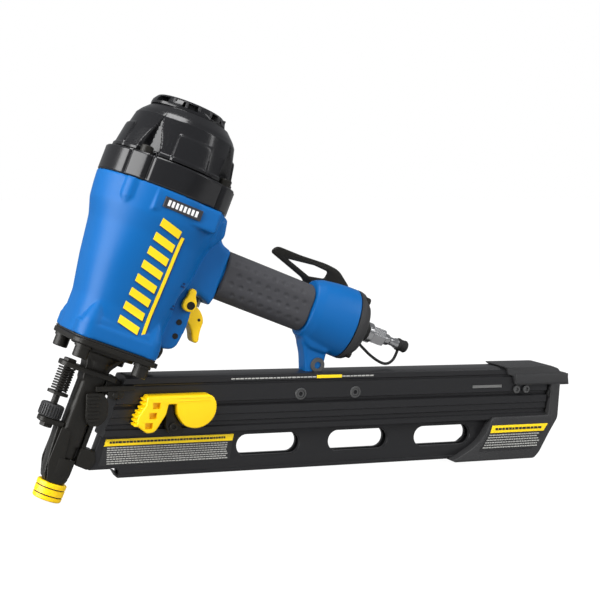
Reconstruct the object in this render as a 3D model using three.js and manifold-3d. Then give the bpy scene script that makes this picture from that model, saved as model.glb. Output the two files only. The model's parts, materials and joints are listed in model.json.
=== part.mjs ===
// A pneumatic framing nailer for plastic collated nails, in millimetres, +Z up.
// It stands on the tip of its nose pad and on the rear bottom corner of its magazine.
//
// Two working frames are nested in the root group:
//   tool frame      x rearward, y to the tool's right, z up the driver axis from the tip of the pad
//   magazine frame  x rearward along the magazine, z square to it, same origin as the tool frame
import * as THREE from 'three';
import * as BufferGeometryUtils from 'three/addons/utils/BufferGeometryUtils.js';
import Module from 'manifold-3d';

const wasm = await Module();
wasm.setup();

// ---------------------------------------------------------------- driving dimensions
const LEAN = THREE.MathUtils.degToRad(21.65); // driver axis from the vertical, as the tool stands
const MAGAZINE_ANGLE = THREE.MathUtils.degToRad(19.5); // magazine from square to the driver axis
const ORIGIN = new THREE.Vector3(-242.45, 0, 3.95); // moves the box's bottom centre to the origin
const GAP = 0.3; // clearance between pieces that touch

const FLANGE_Z = 127.8; // underside of the nose casting's base plate
const FLANGE_THICK = 4.6;
const GASKET_THICK = 1;
const BODY_Z = FLANGE_Z + FLANGE_THICK + GASKET_THICK + 2 * GAP; // underside of the housing
const BODY_TOP = 262; // top of the blue housing
const RING_TOP = 283; // top of the black cap ring
const CAP_TOP = 327; // top of the cylinder cap
const DEFLECTOR_TOP = 335.6;
const DEFLECTOR_X = -2.5; // the deflector turns about a line just ahead of the driver axis
const FLANGE_HALF = { x: 35.6, y: 39.5 };
const NOSE_BOLT = { x: 25.4, y: 31 };
const CAP_BOLT = 35; // x and y of the four cap bolts
const RING_RADIUS = 55;
const BODY_BORE = 33.3;
const HEAD_BORE = 41.5;

const HANDLE_Z = 218.8; // axis of handle, bell and air plug
const GRIP = { x0: 69.5, x1: 154.5, halfY: 17.5, halfZ: 20.8 };
const BELL_END = 198.6;
const BELL_FLATNESS = 0.78; // width of bell and end cap over their height

const TRIGGER_PIN = { x: 49.4, z: 185 };
const CHEEK_Y = 17; // flat outer faces of the trigger cheeks, either side
const GUIDE_ROD_X = -22;
const CHEEK_PINS = [[46.8, 169.2], [47.8, 157.6]];
const FOOT_BOLT = { x: 183, z: 176 };
const VALVE_X = 62.8;

const END_SCREWS = [0, 120, 240].map((angle) => {
  const turn = THREE.MathUtils.degToRad(angle);
  return [27.6 * BELL_FLATNESS * Math.cos(turn), HANDLE_Z + 27.6 * Math.sin(turn)];
});
const HOOK_PIVOT = { x: 183, z: 222 };

const RAIL = { halfY: 13, z0: 50.3, z1: 99.6, x1: 470 };
const BLADE = { halfY: 6.5, z0: 15, z1: 50, x1: 440 };
const MAGAZINE_FRONT = 22.3; // tool-frame x where rail and blade begin
const SLOT = { length: 59, pitch: 86.4, x0: 160, z0: 28, z1: 46.3 };

// ---------------------------------------------------------------- materials
const metal = (color, roughness) => new THREE.MeshStandardMaterial({ color, roughness, metalness: 0.9 });
const paint = (color, roughness) => new THREE.MeshStandardMaterial({ color, roughness, metalness: 0.1 });
const BLUE = paint(0x1f62b8, 0.45);
const BLACK_PAINT = paint(0x1d1e20, 0.4);
const BLACK_STEEL = metal(0x242422, 0.5);
const ANODISED = metal(0x2c2c30, 0.45);
const RUBBER = paint(0x48484c, 0.85);
const YELLOW = paint(0xf5c80a, 0.5);
const BLACK_PLASTIC = paint(0x303033, 0.6);
const CHROME = metal(0xd8d8d8, 0.12);
const STEEL = metal(0x9a9a98, 0.35);
const ALUMINIUM = metal(0xb8bcc0, 0.4);
const SEAL = paint(0x151515, 0.8);

// ---------------------------------------------------------------- geometry helpers
function toSolid(geometry) {
  const bare = geometry.clone();
  bare.deleteAttribute('normal');
  bare.deleteAttribute('uv');
  const merged = BufferGeometryUtils.mergeVertices(bare, 1e-4);
  const index = merged.index.array;
  const kept = [];
  for (let i = 0; i < index.length; i += 3) {
    const [a, b, c] = [index[i], index[i + 1], index[i + 2]];
    if (a !== b && b !== c && c !== a) kept.push(a, b, c);
  }
  const vertProperties = new Float32Array(merged.attributes.position.array);
  return new wasm.Manifold(new wasm.Mesh({ numProp: 3, vertProperties, triVerts: new Uint32Array(kept) }));
}

function toGeometry(solid) {
  const mesh = solid.getMesh();
  const geometry = new THREE.BufferGeometry();
  geometry.setAttribute('position', new THREE.BufferAttribute(mesh.vertProperties, 3));
  geometry.setIndex(new THREE.BufferAttribute(mesh.triVerts, 1));
  geometry.computeVertexNormals();
  return geometry;
}

const join = (...geometries) => toGeometry(geometries.map(toSolid).reduce((all, next) => all.add(next)));

function cut(geometry, ...tools) {
  return toGeometry(tools.map(toSolid).reduce((rest, tool) => rest.subtract(tool), toSolid(geometry)));
}

function box(x0, x1, y0, y1, z0, z1) {
  const geometry = new THREE.BoxGeometry(x1 - x0, y1 - y0, z1 - z0);
  return geometry.translate((x0 + x1) / 2, (y0 + y1) / 2, (z0 + z1) / 2);
}

const rodZ = (radius, z0, z1, x = 0, y = 0, sides = 20) =>
  new THREE.CylinderGeometry(radius, radius, z1 - z0, sides)
    .rotateX(Math.PI / 2).translate(x, y, (z0 + z1) / 2);

const rodY = (radius, y0, y1, x, z, sides = 16) =>
  new THREE.CylinderGeometry(radius, radius, y1 - y0, sides).translate(x, (y0 + y1) / 2, z);

const rodX = (radius, x0, x1, y, z, sides = 20) =>
  new THREE.CylinderGeometry(radius, radius, x1 - x0, sides)
    .rotateZ(-Math.PI / 2).translate((x0 + x1) / 2, y, z);

// A solid of revolution about the driver axis; profile is a list of [radius, z], bottom to top.
const turnedZ = (profile, sides = 32, x = 0, y = 0) =>
  new THREE.LatheGeometry(profile.map(([r, z]) => new THREE.Vector2(r, z)), sides)
    .rotateX(Math.PI / 2).translate(x, y, 0);

// A solid of revolution about a line along x; profile is a list of [radius, x] with x falling.
const turnedX = (profile, z, sides = 28) =>
  new THREE.LatheGeometry(profile.map(([r, x]) => new THREE.Vector2(r, -x)), sides)
    .rotateZ(Math.PI / 2).translate(0, 0, z);

// A ring with a plain bore, about the driver axis or a line beside it.
const ringZ = (inner, outer, z0, z1, sides = 32, x = 0, y = 0) =>
  turnedZ([[inner, z0], [outer, z0], [outer, z1], [inner, z1], [inner, z0]], sides, x, y);

// A closed outline whose corners [u, v, radius] are rounded by their own radius, as far as the edges allow.
function outline(corners) {
  const points = corners.map(([u, v, radius = 0]) => ({ at: new THREE.Vector2(u, v), radius }));
  const shape = new THREE.Shape();
  points.forEach(({ at, radius }, i) => {
    const before = points.at(i - 1).at;
    const after = points[(i + 1) % points.length].at;
    const reach = Math.min(radius, 0.45 * at.distanceTo(before), 0.45 * at.distanceTo(after));
    const enter = at.clone().add(before.clone().sub(at).setLength(reach));
    const leave = at.clone().add(after.clone().sub(at).setLength(reach));
    if (i === 0) shape.moveTo(enter.x, enter.y);
    else shape.lineTo(enter.x, enter.y);
    if (radius > 0) shape.quadraticCurveTo(at.x, at.y, leave.x, leave.y);
  });
  shape.closePath();
  return shape;
}

const extrude = (shape, depth, curveSegments = 2) =>
  new THREE.ExtrudeGeometry(shape, { depth, bevelEnabled: false, curveSegments });

// Outlines in the x-z plane, x-y plane and y-z plane, thickened along the third axis.
const sidePlate = (corners, y0, y1) =>
  extrude(outline(corners), y1 - y0).rotateX(Math.PI / 2).translate(0, y1, 0);
const flatPlate = (corners, z0, z1) => extrude(outline(corners), z1 - z0).translate(0, 0, z0);
const bar = (corners, x0, x1) =>
  extrude(outline(corners), x1 - x0).rotateX(Math.PI / 2).rotateZ(Math.PI / 2).translate(x0, 0, 0);

const rectangle = (halfU, halfV, radius, u = 0, v = 0) => [
  [u - halfU, v - halfV, radius], [u + halfU, v - halfV, radius],
  [u + halfU, v + halfV, radius], [u - halfU, v + halfV, radius]];

const corners4 = (a, b = a) => [[-a, -b], [a, -b], [a, b], [-a, b]];

const root = new THREE.Group();
const tool = new THREE.Group();
const magazine = new THREE.Group();
root.position.copy(ORIGIN);
root.rotation.y = LEAN;
magazine.rotation.y = -MAGAZINE_ANGLE;
root.add(tool, magazine);

function add(group, name, geometry, material) {
  const mesh = new THREE.Mesh(geometry, material);
  mesh.name = name;
  group.add(mesh);
}

// ---------------------------------------------------------------- housing
function housing() {
  const barrel = turnedZ([[0, BODY_Z], [40, BODY_Z], [40, 165], [45.3, 195], [49.4, 226], [54, 240],
    [RING_RADIUS, BODY_TOP], [0, BODY_TOP]], 32);
  const skirt = flatPlate(rectangle(FLANGE_HALF.x, FLANGE_HALF.y, 12), BODY_Z, 146);
  const bosses = corners4(CAP_BOLT).map(([x, y]) =>
    turnedZ([[0, 212], [1, 212], [7, 236], [7, BODY_TOP], [0, BODY_TOP]], 12, x, y));
  const neck = sidePlate([[20, 252, 0], [54, 250, 4], [60, 241, 4], [69, 239, 3], [69, 197.5, 3],
    [67, 190, 2], [60, 193.5, 3], [50, 196, 3], [20, 196, 0]], -CHEEK_Y, CHEEK_Y);
  const triggerCheeks = sidePlate([[20, 198, 0], [53, 198, 0], [53.5, 186, 3], [54.6, 166, 4], [52, 147, 6],
    [40, 144, 4], [35, 150, 3], [20, 150, 0]], -CHEEK_Y, CHEEK_Y);
  const core = rodX(15, 60, 160, 0, HANDLE_Z, 24).translate(0, 0, -HANDLE_Z).scale(1, 1, 1.22)
    .translate(0, 0, HANDLE_Z);
  const bell = turnedX([[0, BELL_END], [31, BELL_END], [31, 190], [29, 168], [26, 157], [20, 155], [0, 155]],
    HANDLE_Z, 24).scale(1, BELL_FLATNESS, 1);
  const foot = sidePlate([[159, 200, 0], [161.5, 190.5, 6], [168.5, 180.5, 4], [176.5, 163, 2],
    [188, 168, 4], [189, 182, 4], [187.5, 190, 3], [193, 200, 0]], -8, 8);
  const hookBoss = rodY(9, 16, 33.6, HOOK_PIVOT.x, HOOK_PIVOT.z, 20);
  const whole = join(barrel, skirt, ...bosses, neck, triggerCheeks, core, bell, foot, hookBoss);
  return cut(whole,
    rodZ(BODY_BORE, BODY_Z - 1, BODY_TOP + 1, 0, 0, 28),
    rodZ(HEAD_BORE, 236, BODY_TOP + 1, 0, 0, 28),
    rodX(11, 20, 170, 0, HANDLE_Z, 16),
    rodX(25, 168, BELL_END + 1, 0, HANDLE_Z, 20).scale(1, BELL_FLATNESS, 1),
    box(39, 60, -9.7, 9.7, 130, 192),
    box(32.5, 60, -60, -CHEEK_Y - 0.2, 150, 201),
    box(32.5, 60, CHEEK_Y + 0.2, 60, 150, 201),
    rodZ(5.2, 180, HANDLE_Z, VALVE_X, 0, 12),
    rodY(2.3, -20, 20, TRIGGER_PIN.x, TRIGGER_PIN.z, 12),
    ...CHEEK_PINS.map(([x, z]) => rodY(2.8, -20, 20, x, z, 8)),
    ...corners4(CAP_BOLT).map(([x, y]) => rodZ(3.1, 230, BODY_TOP + 1, x, y, 8)),
    ...corners4(NOSE_BOLT.x, NOSE_BOLT.y).map(([x, y]) => rodZ(3.1, BODY_Z - 1, 145, x, y, 8)),
    ...END_SCREWS.map(([y, z]) => rodX(1.9, 185, 200, y, z, 8)),
    rodY(3.3, 25, 40, HOOK_PIVOT.x, HOOK_PIVOT.z, 12),
    rodY(3.1, -10, 10, FOOT_BOLT.x, FOOT_BOLT.z, 8));
}

// ---------------------------------------------------------------- cap and cylinder head
function capRing() {
  const z0 = BODY_TOP + GAP;
  const wall = rodZ(RING_RADIUS, z0, RING_TOP, 0, 0, 32);
  const bosses = corners4(CAP_BOLT).map(([x, y]) => rodZ(7, z0, RING_TOP, x, y, 12));
  const holes = corners4(CAP_BOLT).map(([x, y]) => rodZ(3.1, z0 - 1, RING_TOP + 1, x, y, 8));
  return cut(join(wall, ...bosses), rodZ(HEAD_BORE, z0 - 1, RING_TOP + 1, 0, 0, 28), ...holes);
}

function cylinderCap() {
  const z0 = RING_TOP + GASKET_THICK + 2 * GAP;
  const shell = turnedZ([[0, z0], [49, z0], [45.4, 303], [42, 317], [40.2, 320.5], [33, CAP_TOP],
    [0, CAP_TOP]], 32);
  const recesses = corners4(CAP_BOLT).map(([x, y]) =>
    turnedZ([[0, z0 - 1], [7.6, z0 - 1], [7.6, 293], [1, 314], [0, 314]], 12, x * 1.03, y * 1.03));
  return cut(shell,
    rodZ(38, z0 - 1, 302, 0, 0, 24),
    rodZ(24, 300, 319, 0, 0, 20),
    rodZ(2.8, 310, CAP_TOP + 1, DEFLECTOR_X, 0, 12),
    ...recesses);
}

function exhaustDeflector() {
  const disc = turnedZ([[0, CAP_TOP + GAP], [31.6, CAP_TOP + GAP], [31.6, 331], [28, DEFLECTOR_TOP],
    [0, DEFLECTOR_TOP]], 10, DEFLECTOR_X);
  const ports = [-0.5, 0.5, 1.5].map((turn) => 
    box(17, 40, -6, 6, 329.6, 334.4).rotateZ(turn * 1.2).translate(DEFLECTOR_X, 0, 0));
  return cut(disc, rodZ(2.8, 320, 340, DEFLECTOR_X, 0, 12), rodZ(6, 330.5, 340, DEFLECTOR_X, 0, 16), ...ports);
}

const screwZ = (shank, head, z0, zHead, z1, x, y) =>
  turnedZ([[0, z0], [shank, z0], [shank, zHead], [head, zHead], [head, z1], [0, z1]], 10, x, y);

add(tool, 'housing', housing(), BLUE);
add(tool, 'cap_ring', capRing(), BLACK_PAINT);
add(tool, 'head_gasket', ringZ(38.5, 43.3, RING_TOP + GAP, RING_TOP + GAP + GASKET_THICK - 0.1, 24), SEAL);
add(tool, 'cylinder_cap', cylinderCap(), BLACK_PAINT);
add(tool, 'exhaust_deflector', exhaustDeflector(), BLACK_PAINT);
add(tool, 'deflector_screw', screwZ(2.5, 5, 320, 330.8, 333.6, DEFLECTOR_X, 0), BLACK_STEEL);
corners4(CAP_BOLT).forEach(([x, y], i) =>
  add(tool, `cap_bolt_${i + 1}`, screwZ(2.8, 5, 238, RING_TOP + GAP, 289, x, y), BLACK_STEEL));

// ---------------------------------------------------------------- engine inside the housing
const PISTON_Z = 243.5;
add(tool, 'cylinder_sleeve', ringZ(30, 33, BODY_Z + GAP, 261, 28), ALUMINIUM);
add(tool, 'bumper', turnedZ([[6, BODY_Z + GAP], [29.7, BODY_Z + GAP], [29.7, 146], [26, 156], [6, 156],
  [6, BODY_Z + GAP]], 20), SEAL);
add(tool, 'piston', turnedZ([[0, PISTON_Z], [29.6, PISTON_Z], [29.6, 248], [27.6, 248], [27.6, 251.5],
  [29.6, 251.5], [29.6, 256], [22, 256], [20, 249], [0, 249]], 24), ALUMINIUM);
add(tool, 'driver_blade', turnedZ([[0, 101.5], [3.4, 101.5], [3.6, 104], [3.6, PISTON_Z - GAP],
  [0, PISTON_Z - GAP]], 12), STEEL);
add(tool, 'head_valve', turnedZ([[24, 262], [34, 262], [36.5, 264], [36.5, 277], [24, 277], [24, 262]], 24),
  BLACK_PLASTIC);
add(tool, 'head_valve_spring', ringZ(30, 33, 277.3, 301.7, 20), STEEL);

// ---------------------------------------------------------------- nose casting
function noseCasting() {
  const plate = flatPlate(rectangle(FLANGE_HALF.x, FLANGE_HALF.y, 12), FLANGE_Z, FLANGE_Z + FLANGE_THICK);
  const funnel = turnedZ([[0, 105], [9, 105], [10.5, 111], [12, 116], [20, 123], [27, FLANGE_Z],
    [27, FLANGE_Z + 1], [0, FLANGE_Z + 1]], 20);
  const guide = bar(rectangle(9.4, 29.8, 2, 0, 76.7), -10, 9.6);
  const collar = rodZ(9.6, 36.5, 50, 0, 0, 20);
  const tip = rodZ(7, 13.8, 60, 0, 0, 16);
  const boltHoles = corners4(NOSE_BOLT.x, NOSE_BOLT.y).map(([x, y]) => rodZ(3.1, FLANGE_Z - 1, 140, x, y, 8));
  return cut(join(plate, funnel, guide, collar, tip),
    rodZ(4.2, 0, 140, 0, 0, 16),
    box(0, 20, -2.6, 2.6, 20, 90),
    box(0, 20, -4.3, 4.3, 90, 101),
    ...boltHoles);
}

function springBracket() {
  const plate = flatPlate([[-29.5, -8, 4], [-10.4, -14.4, 2], [16, -14.4, 1.5], [16, -11.2, 1.5],
    [-10.4, -11.2, 0], [-10.4, 8, 0], [-29.5, 8, 4]], 105.6, 109.8);
  return cut(plate, rodZ(3.4, 100, 115, GUIDE_ROD_X, 0, 14));
}

function contactArm() {
  const yoke = turnedZ([[7.3, 3.3], [9, 3.3], [9, 14.9], [12.6, 24], [12.6, 36], [10.4, 36], [10.4, 23.6],
    [7.3, 18], [7.3, 3.3]], 20);
  const arm = sidePlate([[-14.4, 62.6, 1], [-10.6, 62.6, 1], [-10.6, 26, 0], [-9, 17, 0], [-11.2, 20, 2],
    [-13, 40, 4]], -7, 7);
  const seat = flatPlate([[-30, -8, 4], [-10.7, -8, 0], [-10.7, 8, 0], [-30, 8, 4]], 58.4, 62.6);
  return cut(join(yoke, arm, seat),
    box(9.7, 20, -20, 20, 19, 40),
    rodZ(7.25, 0, 17.8, 0, 0, 20),
    rodZ(3.4, 50, 70, GUIDE_ROD_X, 0, 14));
}

function noMarPad() {
  return turnedZ([[4.6, 0], [10.6, 0], [11.8, 0.8], [12.2, 14], [11.7, 14.6], [9.3, 14.6], [9.3, 3], [4.6, 3],
    [4.6, 0]], 24);
}

function depthWheel() {
  return turnedZ([[3.2, 63], [9, 63], [9.8, 64], [9.8, 73], [9, 74], [3.2, 74], [3.2, 63]], 20,
    GUIDE_ROD_X, 0);
}

function guideRod() {
  return turnedZ([[0, 55], [5, 55], [5, 58.1], [2.8, 58.1], [2.8, 112], [0, 112]], 14, GUIDE_ROD_X, 0);
}

add(tool, 'base_gasket', cut(flatPlate(rectangle(FLANGE_HALF.x, FLANGE_HALF.y, 12),
  FLANGE_Z + FLANGE_THICK + GAP, FLANGE_Z + FLANGE_THICK + GAP + GASKET_THICK), rodZ(30, 120, 140, 0, 0, 28),
...corners4(NOSE_BOLT.x, NOSE_BOLT.y).map(([x, y]) => rodZ(3.1, 120, 140, x, y, 8))), SEAL);
add(tool, 'nose_casting', noseCasting(), BLACK_STEEL);
corners4(NOSE_BOLT.x, NOSE_BOLT.y).forEach(([x, y], i) => add(tool, `nose_bolt_${i + 1}`,
  turnedZ([[0, 117], [6.2, 117], [6.2, FLANGE_Z - GAP], [2.8, FLANGE_Z - GAP], [2.8, 142], [0, 142]], 12, x, y),
  BLACK_STEEL));
add(tool, 'spring_bracket', springBracket(), BLACK_STEEL);
add(tool, 'guide_rod', guideRod(), BLACK_STEEL);
add(tool, 'safety_spring', ringZ(3.4, 6.8, 84.5, 105.3, 20, GUIDE_ROD_X, 0), BLACK_STEEL);
add(tool, 'spring_washer', ringZ(3.1, 8.6, 82, 84.2, 20, GUIDE_ROD_X, 0), BLACK_STEEL);
add(tool, 'depth_wheel', depthWheel(), BLACK_PLASTIC);
add(tool, 'contact_arm', contactArm(), BLACK_STEEL);
add(tool, 'no_mar_pad', noMarPad(), YELLOW);

// ---------------------------------------------------------------- safety link, contact arm to trigger
function safetyLink() {
  const tongue = box(39.6, 42.2, -8, 8, 127, 162);
  const crossing = box(39.6, 46, -8, 17.5, 127, 131);
  const sideStrip = sidePlate([[41, 131, 0], [46, 131, 0], [46, 112, 4], [8, 88, 4], [4, 30, 2], [-6, 30, 2],
    [-6, 98, 4], [4, 98, 4], [34, 112, 4], [41, 117, 2]], 14.5, 17.5);
  const foot = box(-6, 4, 13, 15.5, 30, 35);
  return join(tongue, crossing, sideStrip, foot);
}

add(tool, 'safety_link', safetyLink(), BLACK_STEEL);

// ---------------------------------------------------------------- trigger group
function trigger() {
  const lever = sidePlate([[44.6, 187.5, 3], [49.4, 190.8, 3], [56.6, 188.5, 3], [65.4, 184, 3],
    [71.1, 177.6, 4], [70.9, 168, 4], [72.9, 159.6, 2], [70.6, 157.2, 1.5], [67.4, 158.6, 1.5],
    [63.9, 165.6, 3], [56.9, 172.4, 3], [46.6, 178, 3]], -7, 7);
  return cut(lever, rodY(2.3, -10, 10, TRIGGER_PIN.x, TRIGGER_PIN.z, 12));
}

function modeSelector() {
  const knob = sidePlate([[43.9, 197, 1.5], [45.9, 198.8, 1.5], [50.3, 198.2, 1.5], [51, 192.8, 2],
    [54.4, 188.5, 3], [54, 181, 3], [48, 179.2, 3], [42.6, 181.2, 3], [42.2, 187.2, 3], [44, 191, 2]],
  -22.3, -17.5);
  return cut(knob, rodY(2.3, -24, -16, TRIGGER_PIN.x, TRIGGER_PIN.z, 12));
}

add(tool, 'trigger', trigger(), YELLOW);
add(tool, 'mode_selector', modeSelector(), YELLOW);
add(tool, 'trigger_pin', rodY(2, -22.9, CHEEK_Y + 0.8, TRIGGER_PIN.x, TRIGGER_PIN.z, 12), BLACK_STEEL);
CHEEK_PINS.forEach(([x, z], i) => add(tool, `cheek_pin_${i + 1}`,
  rodY(2.5, -CHEEK_Y - 0.3, CHEEK_Y + 0.3, x, z, 12), BLACK_STEEL));
add(tool, 'valve_bushing', ringZ(2.3, 5, 193, 206, 16, VALVE_X, 0), BLACK_PLASTIC);
add(tool, 'valve_stem', turnedZ([[0, 186.3], [2, 186.3], [2, 206.8], [3.6, 207], [3.6, 210], [0, 210]], 12,
  VALVE_X, 0), STEEL);

// ---------------------------------------------------------------- grip, end cap, air plug
function gripSleeve() {
  const outer = bar(rectangle(GRIP.halfY, GRIP.halfZ, 14, 0, HANDLE_Z - 0.6), GRIP.x0, GRIP.x1);
  const core = rodX(15.3, GRIP.x0 - 1, GRIP.x1 + 1, 0, 0, 24).scale(1, 1, 1.22).translate(0, 0, HANDLE_Z);
  return cut(outer, core);
}

function endCap() {
  const x0 = BELL_END + GAP;
  const dome = turnedX([[0, 216], [9, 216], [16, 215], [24, 211.5], [29, 207], [31, 203.5], [31, x0], [0, x0]],
    HANDLE_Z, 24).scale(1, BELL_FLATNESS, 1);
  return cut(dome, rodX(6.3, 190, 230, 0, HANDLE_Z, 16),
    rodX(22, 190, 206, 0, HANDLE_Z, 20).scale(1, BELL_FLATNESS, 1),
    ...END_SCREWS.flatMap(([y, z]) => [rodX(1.9, 190, 220, y, z, 10), rodX(4.2, 203.5, 222, y, z, 14)]));
}

function airPlug() {
  const thread = rodX(6, 204, 220, 0, HANDLE_Z, 16);
  const ring = rodX(9, 219.4, 225.5, 0, HANDLE_Z, 20);
  const hexagon = rodX(8.25, 225, 239, 0, HANDLE_Z, 6);
  const nipple = turnedX([[0, 261], [3.6, 261], [4.5, 259], [4.5, 252], [3.7, 250.5], [3.7, 246], [5, 244.5],
    [5, 238], [0, 238]], HANDLE_Z, 14);
  return cut(join(thread, ring, hexagon, nipple), rodX(2.4, 200, 270, 0, HANDLE_Z, 12));
}

function dustCap() {
  const shell = turnedX([[0, 264.2], [4.8, 264.2], [5.6, 263.2], [5.6, 254.6], [0, 254.6]], HANDLE_Z, 16);
  return cut(shell, rodX(4.8, 250, 261.3, 0, HANDLE_Z, 16));
}

const TETHER_ROUTE = [[217.7, 211], [217.9, 208.6], [219, 206.7], [221.6, 205.2], [226, 203.4], [231, 201.4],
  [236.5, 199.7], [242, 198.5], [247, 198], [251, 198.6], [254.4, 200.8], [256.6, 204.4], [257.4, 208.6],
  [257.6, 211.6]];

function tether() {
  const path = new THREE.CatmullRomCurve3(TETHER_ROUTE.map(([x, z]) => new THREE.Vector3(x, 0, z)));
  const section = new THREE.Shape().absarc(0, 0, 1.3, 0, 2 * Math.PI);
  const strap = new THREE.ExtrudeGeometry(section, { steps: 24, extrudePath: path, curveSegments: 4 });
  const ring = cut(rodX(9, 216.4, 219, 0, HANDLE_Z, 20), rodX(6.3, 210, 230, 0, HANDLE_Z, 16));
  return join(strap, ring);
}

add(tool, 'grip_sleeve', gripSleeve(), RUBBER);
add(tool, 'end_cap', endCap(), BLACK_PLASTIC);
END_SCREWS.forEach(([y, z], i) => add(tool, `end_cap_screw_${i + 1}`,
  join(rodX(1.6, 186, 205, y, z, 10), rodX(3.8, 203.8, 207.6, y, z, 12)), BLACK_STEEL));
add(tool, 'air_plug', airPlug(), CHROME);
add(tool, 'dust_cap', dustCap(), SEAL);
add(tool, 'dust_cap_tether', tether(), SEAL);

// ---------------------------------------------------------------- belt hook
function beltHook() {
  const blank = sidePlate([[123.7, 255, 3], [127.2, 262, 4], [152.3, 262.2, 4], [178.3, 264, 6],
    [192.3, 262.8, 5], [208, 252.2, 3], [200.5, 234, 5], [196, 214, 9], [172, 211, 9], [170, 234.5, 5],
    [161, 244, 3], [145.2, 248.7, 3]], 34, 38);
  const window = sidePlate([[141.2, 254.8, 1], [168.3, 258.5, 1], [183.2, 257.9, 2], [182.2, 250.9, 2],
    [166.2, 247.6, 1]], 30, 40);
  return cut(blank, window, rodY(3.3, 30, 40, HOOK_PIVOT.x, HOOK_PIVOT.z, 14),
    rodY(6.4, 36, 40, HOOK_PIVOT.x, HOOK_PIVOT.z, 14));
}

add(tool, 'belt_hook', beltHook(), BLACK_STEEL);
add(tool, 'hook_screw', join(rodY(3, 26, 36.6, HOOK_PIVOT.x, HOOK_PIVOT.z, 12),
  rodY(6, 36.3, 37.9, HOOK_PIVOT.x, HOOK_PIVOT.z, 14)), BLACK_STEEL);
add(tool, 'foot_bolt', join(rodY(2.8, -9.2, 8, FOOT_BOLT.x, FOOT_BOLT.z, 10),
  rodY(6.6, -9.3, -8.4, FOOT_BOLT.x, FOOT_BOLT.z, 16)), BLACK_STEEL);

// ---------------------------------------------------------------- magazine
const SIDE_SCREWS = [214.8, 267.3];
const REAR_SCREWS = [435, 445.6];
const SCREW_Z = 81;
const REAR_SCREW_Z = 79;

// Everything of the tool frame in front of the magazine's front face, turned into the magazine frame.
const aheadOfMagazine = () => box(-60, MAGAZINE_FRONT, -60, 60, -40, 160).rotateY(MAGAZINE_ANGLE);

function magazineRail() {
  const section = rectangle(RAIL.halfY, (RAIL.z1 - RAIL.z0) / 2, 1.5, 0, (RAIL.z0 + RAIL.z1) / 2);
  const body = bar(section, 20, RAIL.x1);
  return cut(body, aheadOfMagazine(),
    box(0, 500, -8.5, 8.5, 56, 90),
    box(0, 500, -2.6, 2.6, 40, 60),
    box(0, 500, -9.4, 9.4, 93.6, 110),
    box(64, 428, -14, -8, 73, 76.5),
    box(387.3, 420, -14, -8, 80.6, 84),
    ...SIDE_SCREWS.flatMap((x) => [rodY(4.1, -14, -10.3, x, SCREW_Z, 16), rodY(2.2, -14, -8, x, SCREW_Z, 10)]),
    ...REAR_SCREWS.map((x) => rodY(2.2, -14, -8, x, REAR_SCREW_Z, 10)));
}

function magazineBlade() {
  const section = rectangle(BLADE.halfY, (BLADE.z1 - BLADE.z0) / 2, 1.5, 0, (BLADE.z0 + BLADE.z1) / 2);
  const body = bar(section, 20, BLADE.x1);
  const slots = [0, 1, 2].map((i) => {
    const x0 = SLOT.x0 + i * SLOT.pitch;
    const radius = (SLOT.z1 - SLOT.z0) / 2 - 0.1;
    return sidePlate([[x0, SLOT.z0, radius], [x0 + SLOT.length, SLOT.z0, radius],
      [x0 + SLOT.length, SLOT.z1, radius], [x0, SLOT.z1, radius]], -10, 10);
  });
  return cut(body, aheadOfMagazine(), box(0, 500, -2.6, 2.6, 19.5, 60), box(0, 55, -10, 10, 0, 22.5), ...slots);
}

function rearCap() {
  const block = sidePlate([[417, 101.3, 2], [470, 101.3, 4], [480, 98, 3], [482, 95, 1],
    [491, 93.5, 3], [493, 82.5, 1],
    [483, 82.5, 0], [482.6, 51, 3], [473.5, 36, 3], [464, 18.5, 3], [458.5, 13.2, 2], [372, 13.2, 3],
    [369, 15.4, 1], [376, 17.5, 2], [393.5, 27.5, 8], [403, 37, 8], [410, 53.5, 3], [433, 53.5, 0],
    [433, 83, 1], [430, 91.5, 1], [424, 93, 1], [422.5, 98, 1]], -16, 16);
  return cut(block,
    box(400, 474, -13.3, 13.3, RAIL.z0 - GAP, RAIL.z1 + GAP),
    box(360, BLADE.x1 + 2, -6.8, 6.8, BLADE.z0 - GAP, 60),
    box(425, 473, -20, 20, 53.8, 83));
}

function pusherHandle() {
  const shell = sidePlate([[73.5, 85.4, 2], [129, 85.4, 4], [133, 78, 3], [132.3, 68, 5], [125, 60, 5],
    [116, 57.3, 4], [106, 59.5, 4], [99.5, 69, 3], [98.3, 78.2, 0.5], [91.4, 78.3, 0.5], [89.5, 70, 2],
    [80.5, 55.8, 3], [73.8, 55, 2], [65.2, 62, 2], [66.2, 69, 2], [72.5, 78, 2]], -27, -14);
  const tab = box(101, 128, -15, -8.4, 73.5, 76);
  return join(shell, tab);
}

function pusherBracket() {
  const plate = sidePlate([[92.2, 77.3, 0.5], [97.5, 77.3, 0.5], [98.6, 68, 2], [104, 59, 2], [108.5, 54.8, 2],
    [102, 50.6, 2], [94, 53.6, 2], [91, 60, 2]], -21, -14.2);
  return join(plate, rodY(3.6, -23.5, -20, 97.7, 58.8, 12));
}

function follower() {
  const carriage = box(68, 128, -8.1, 8.1, 57, 89);
  const foot = box(70, 84, -2.3, 2.3, 21, 58);
  return join(carriage, foot);
}

function frontBracket() {
  const block = sidePlate([[10.1, 33, 1], [22, 32, 2], [22, 110.5, 2], [10.1, 105, 2]], -8, 8);
  return cut(block, box(0, 30, -2.6, 2.6, 37, 90), box(0, 30, -4.3, 4.3, 89, 101));
}

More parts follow.
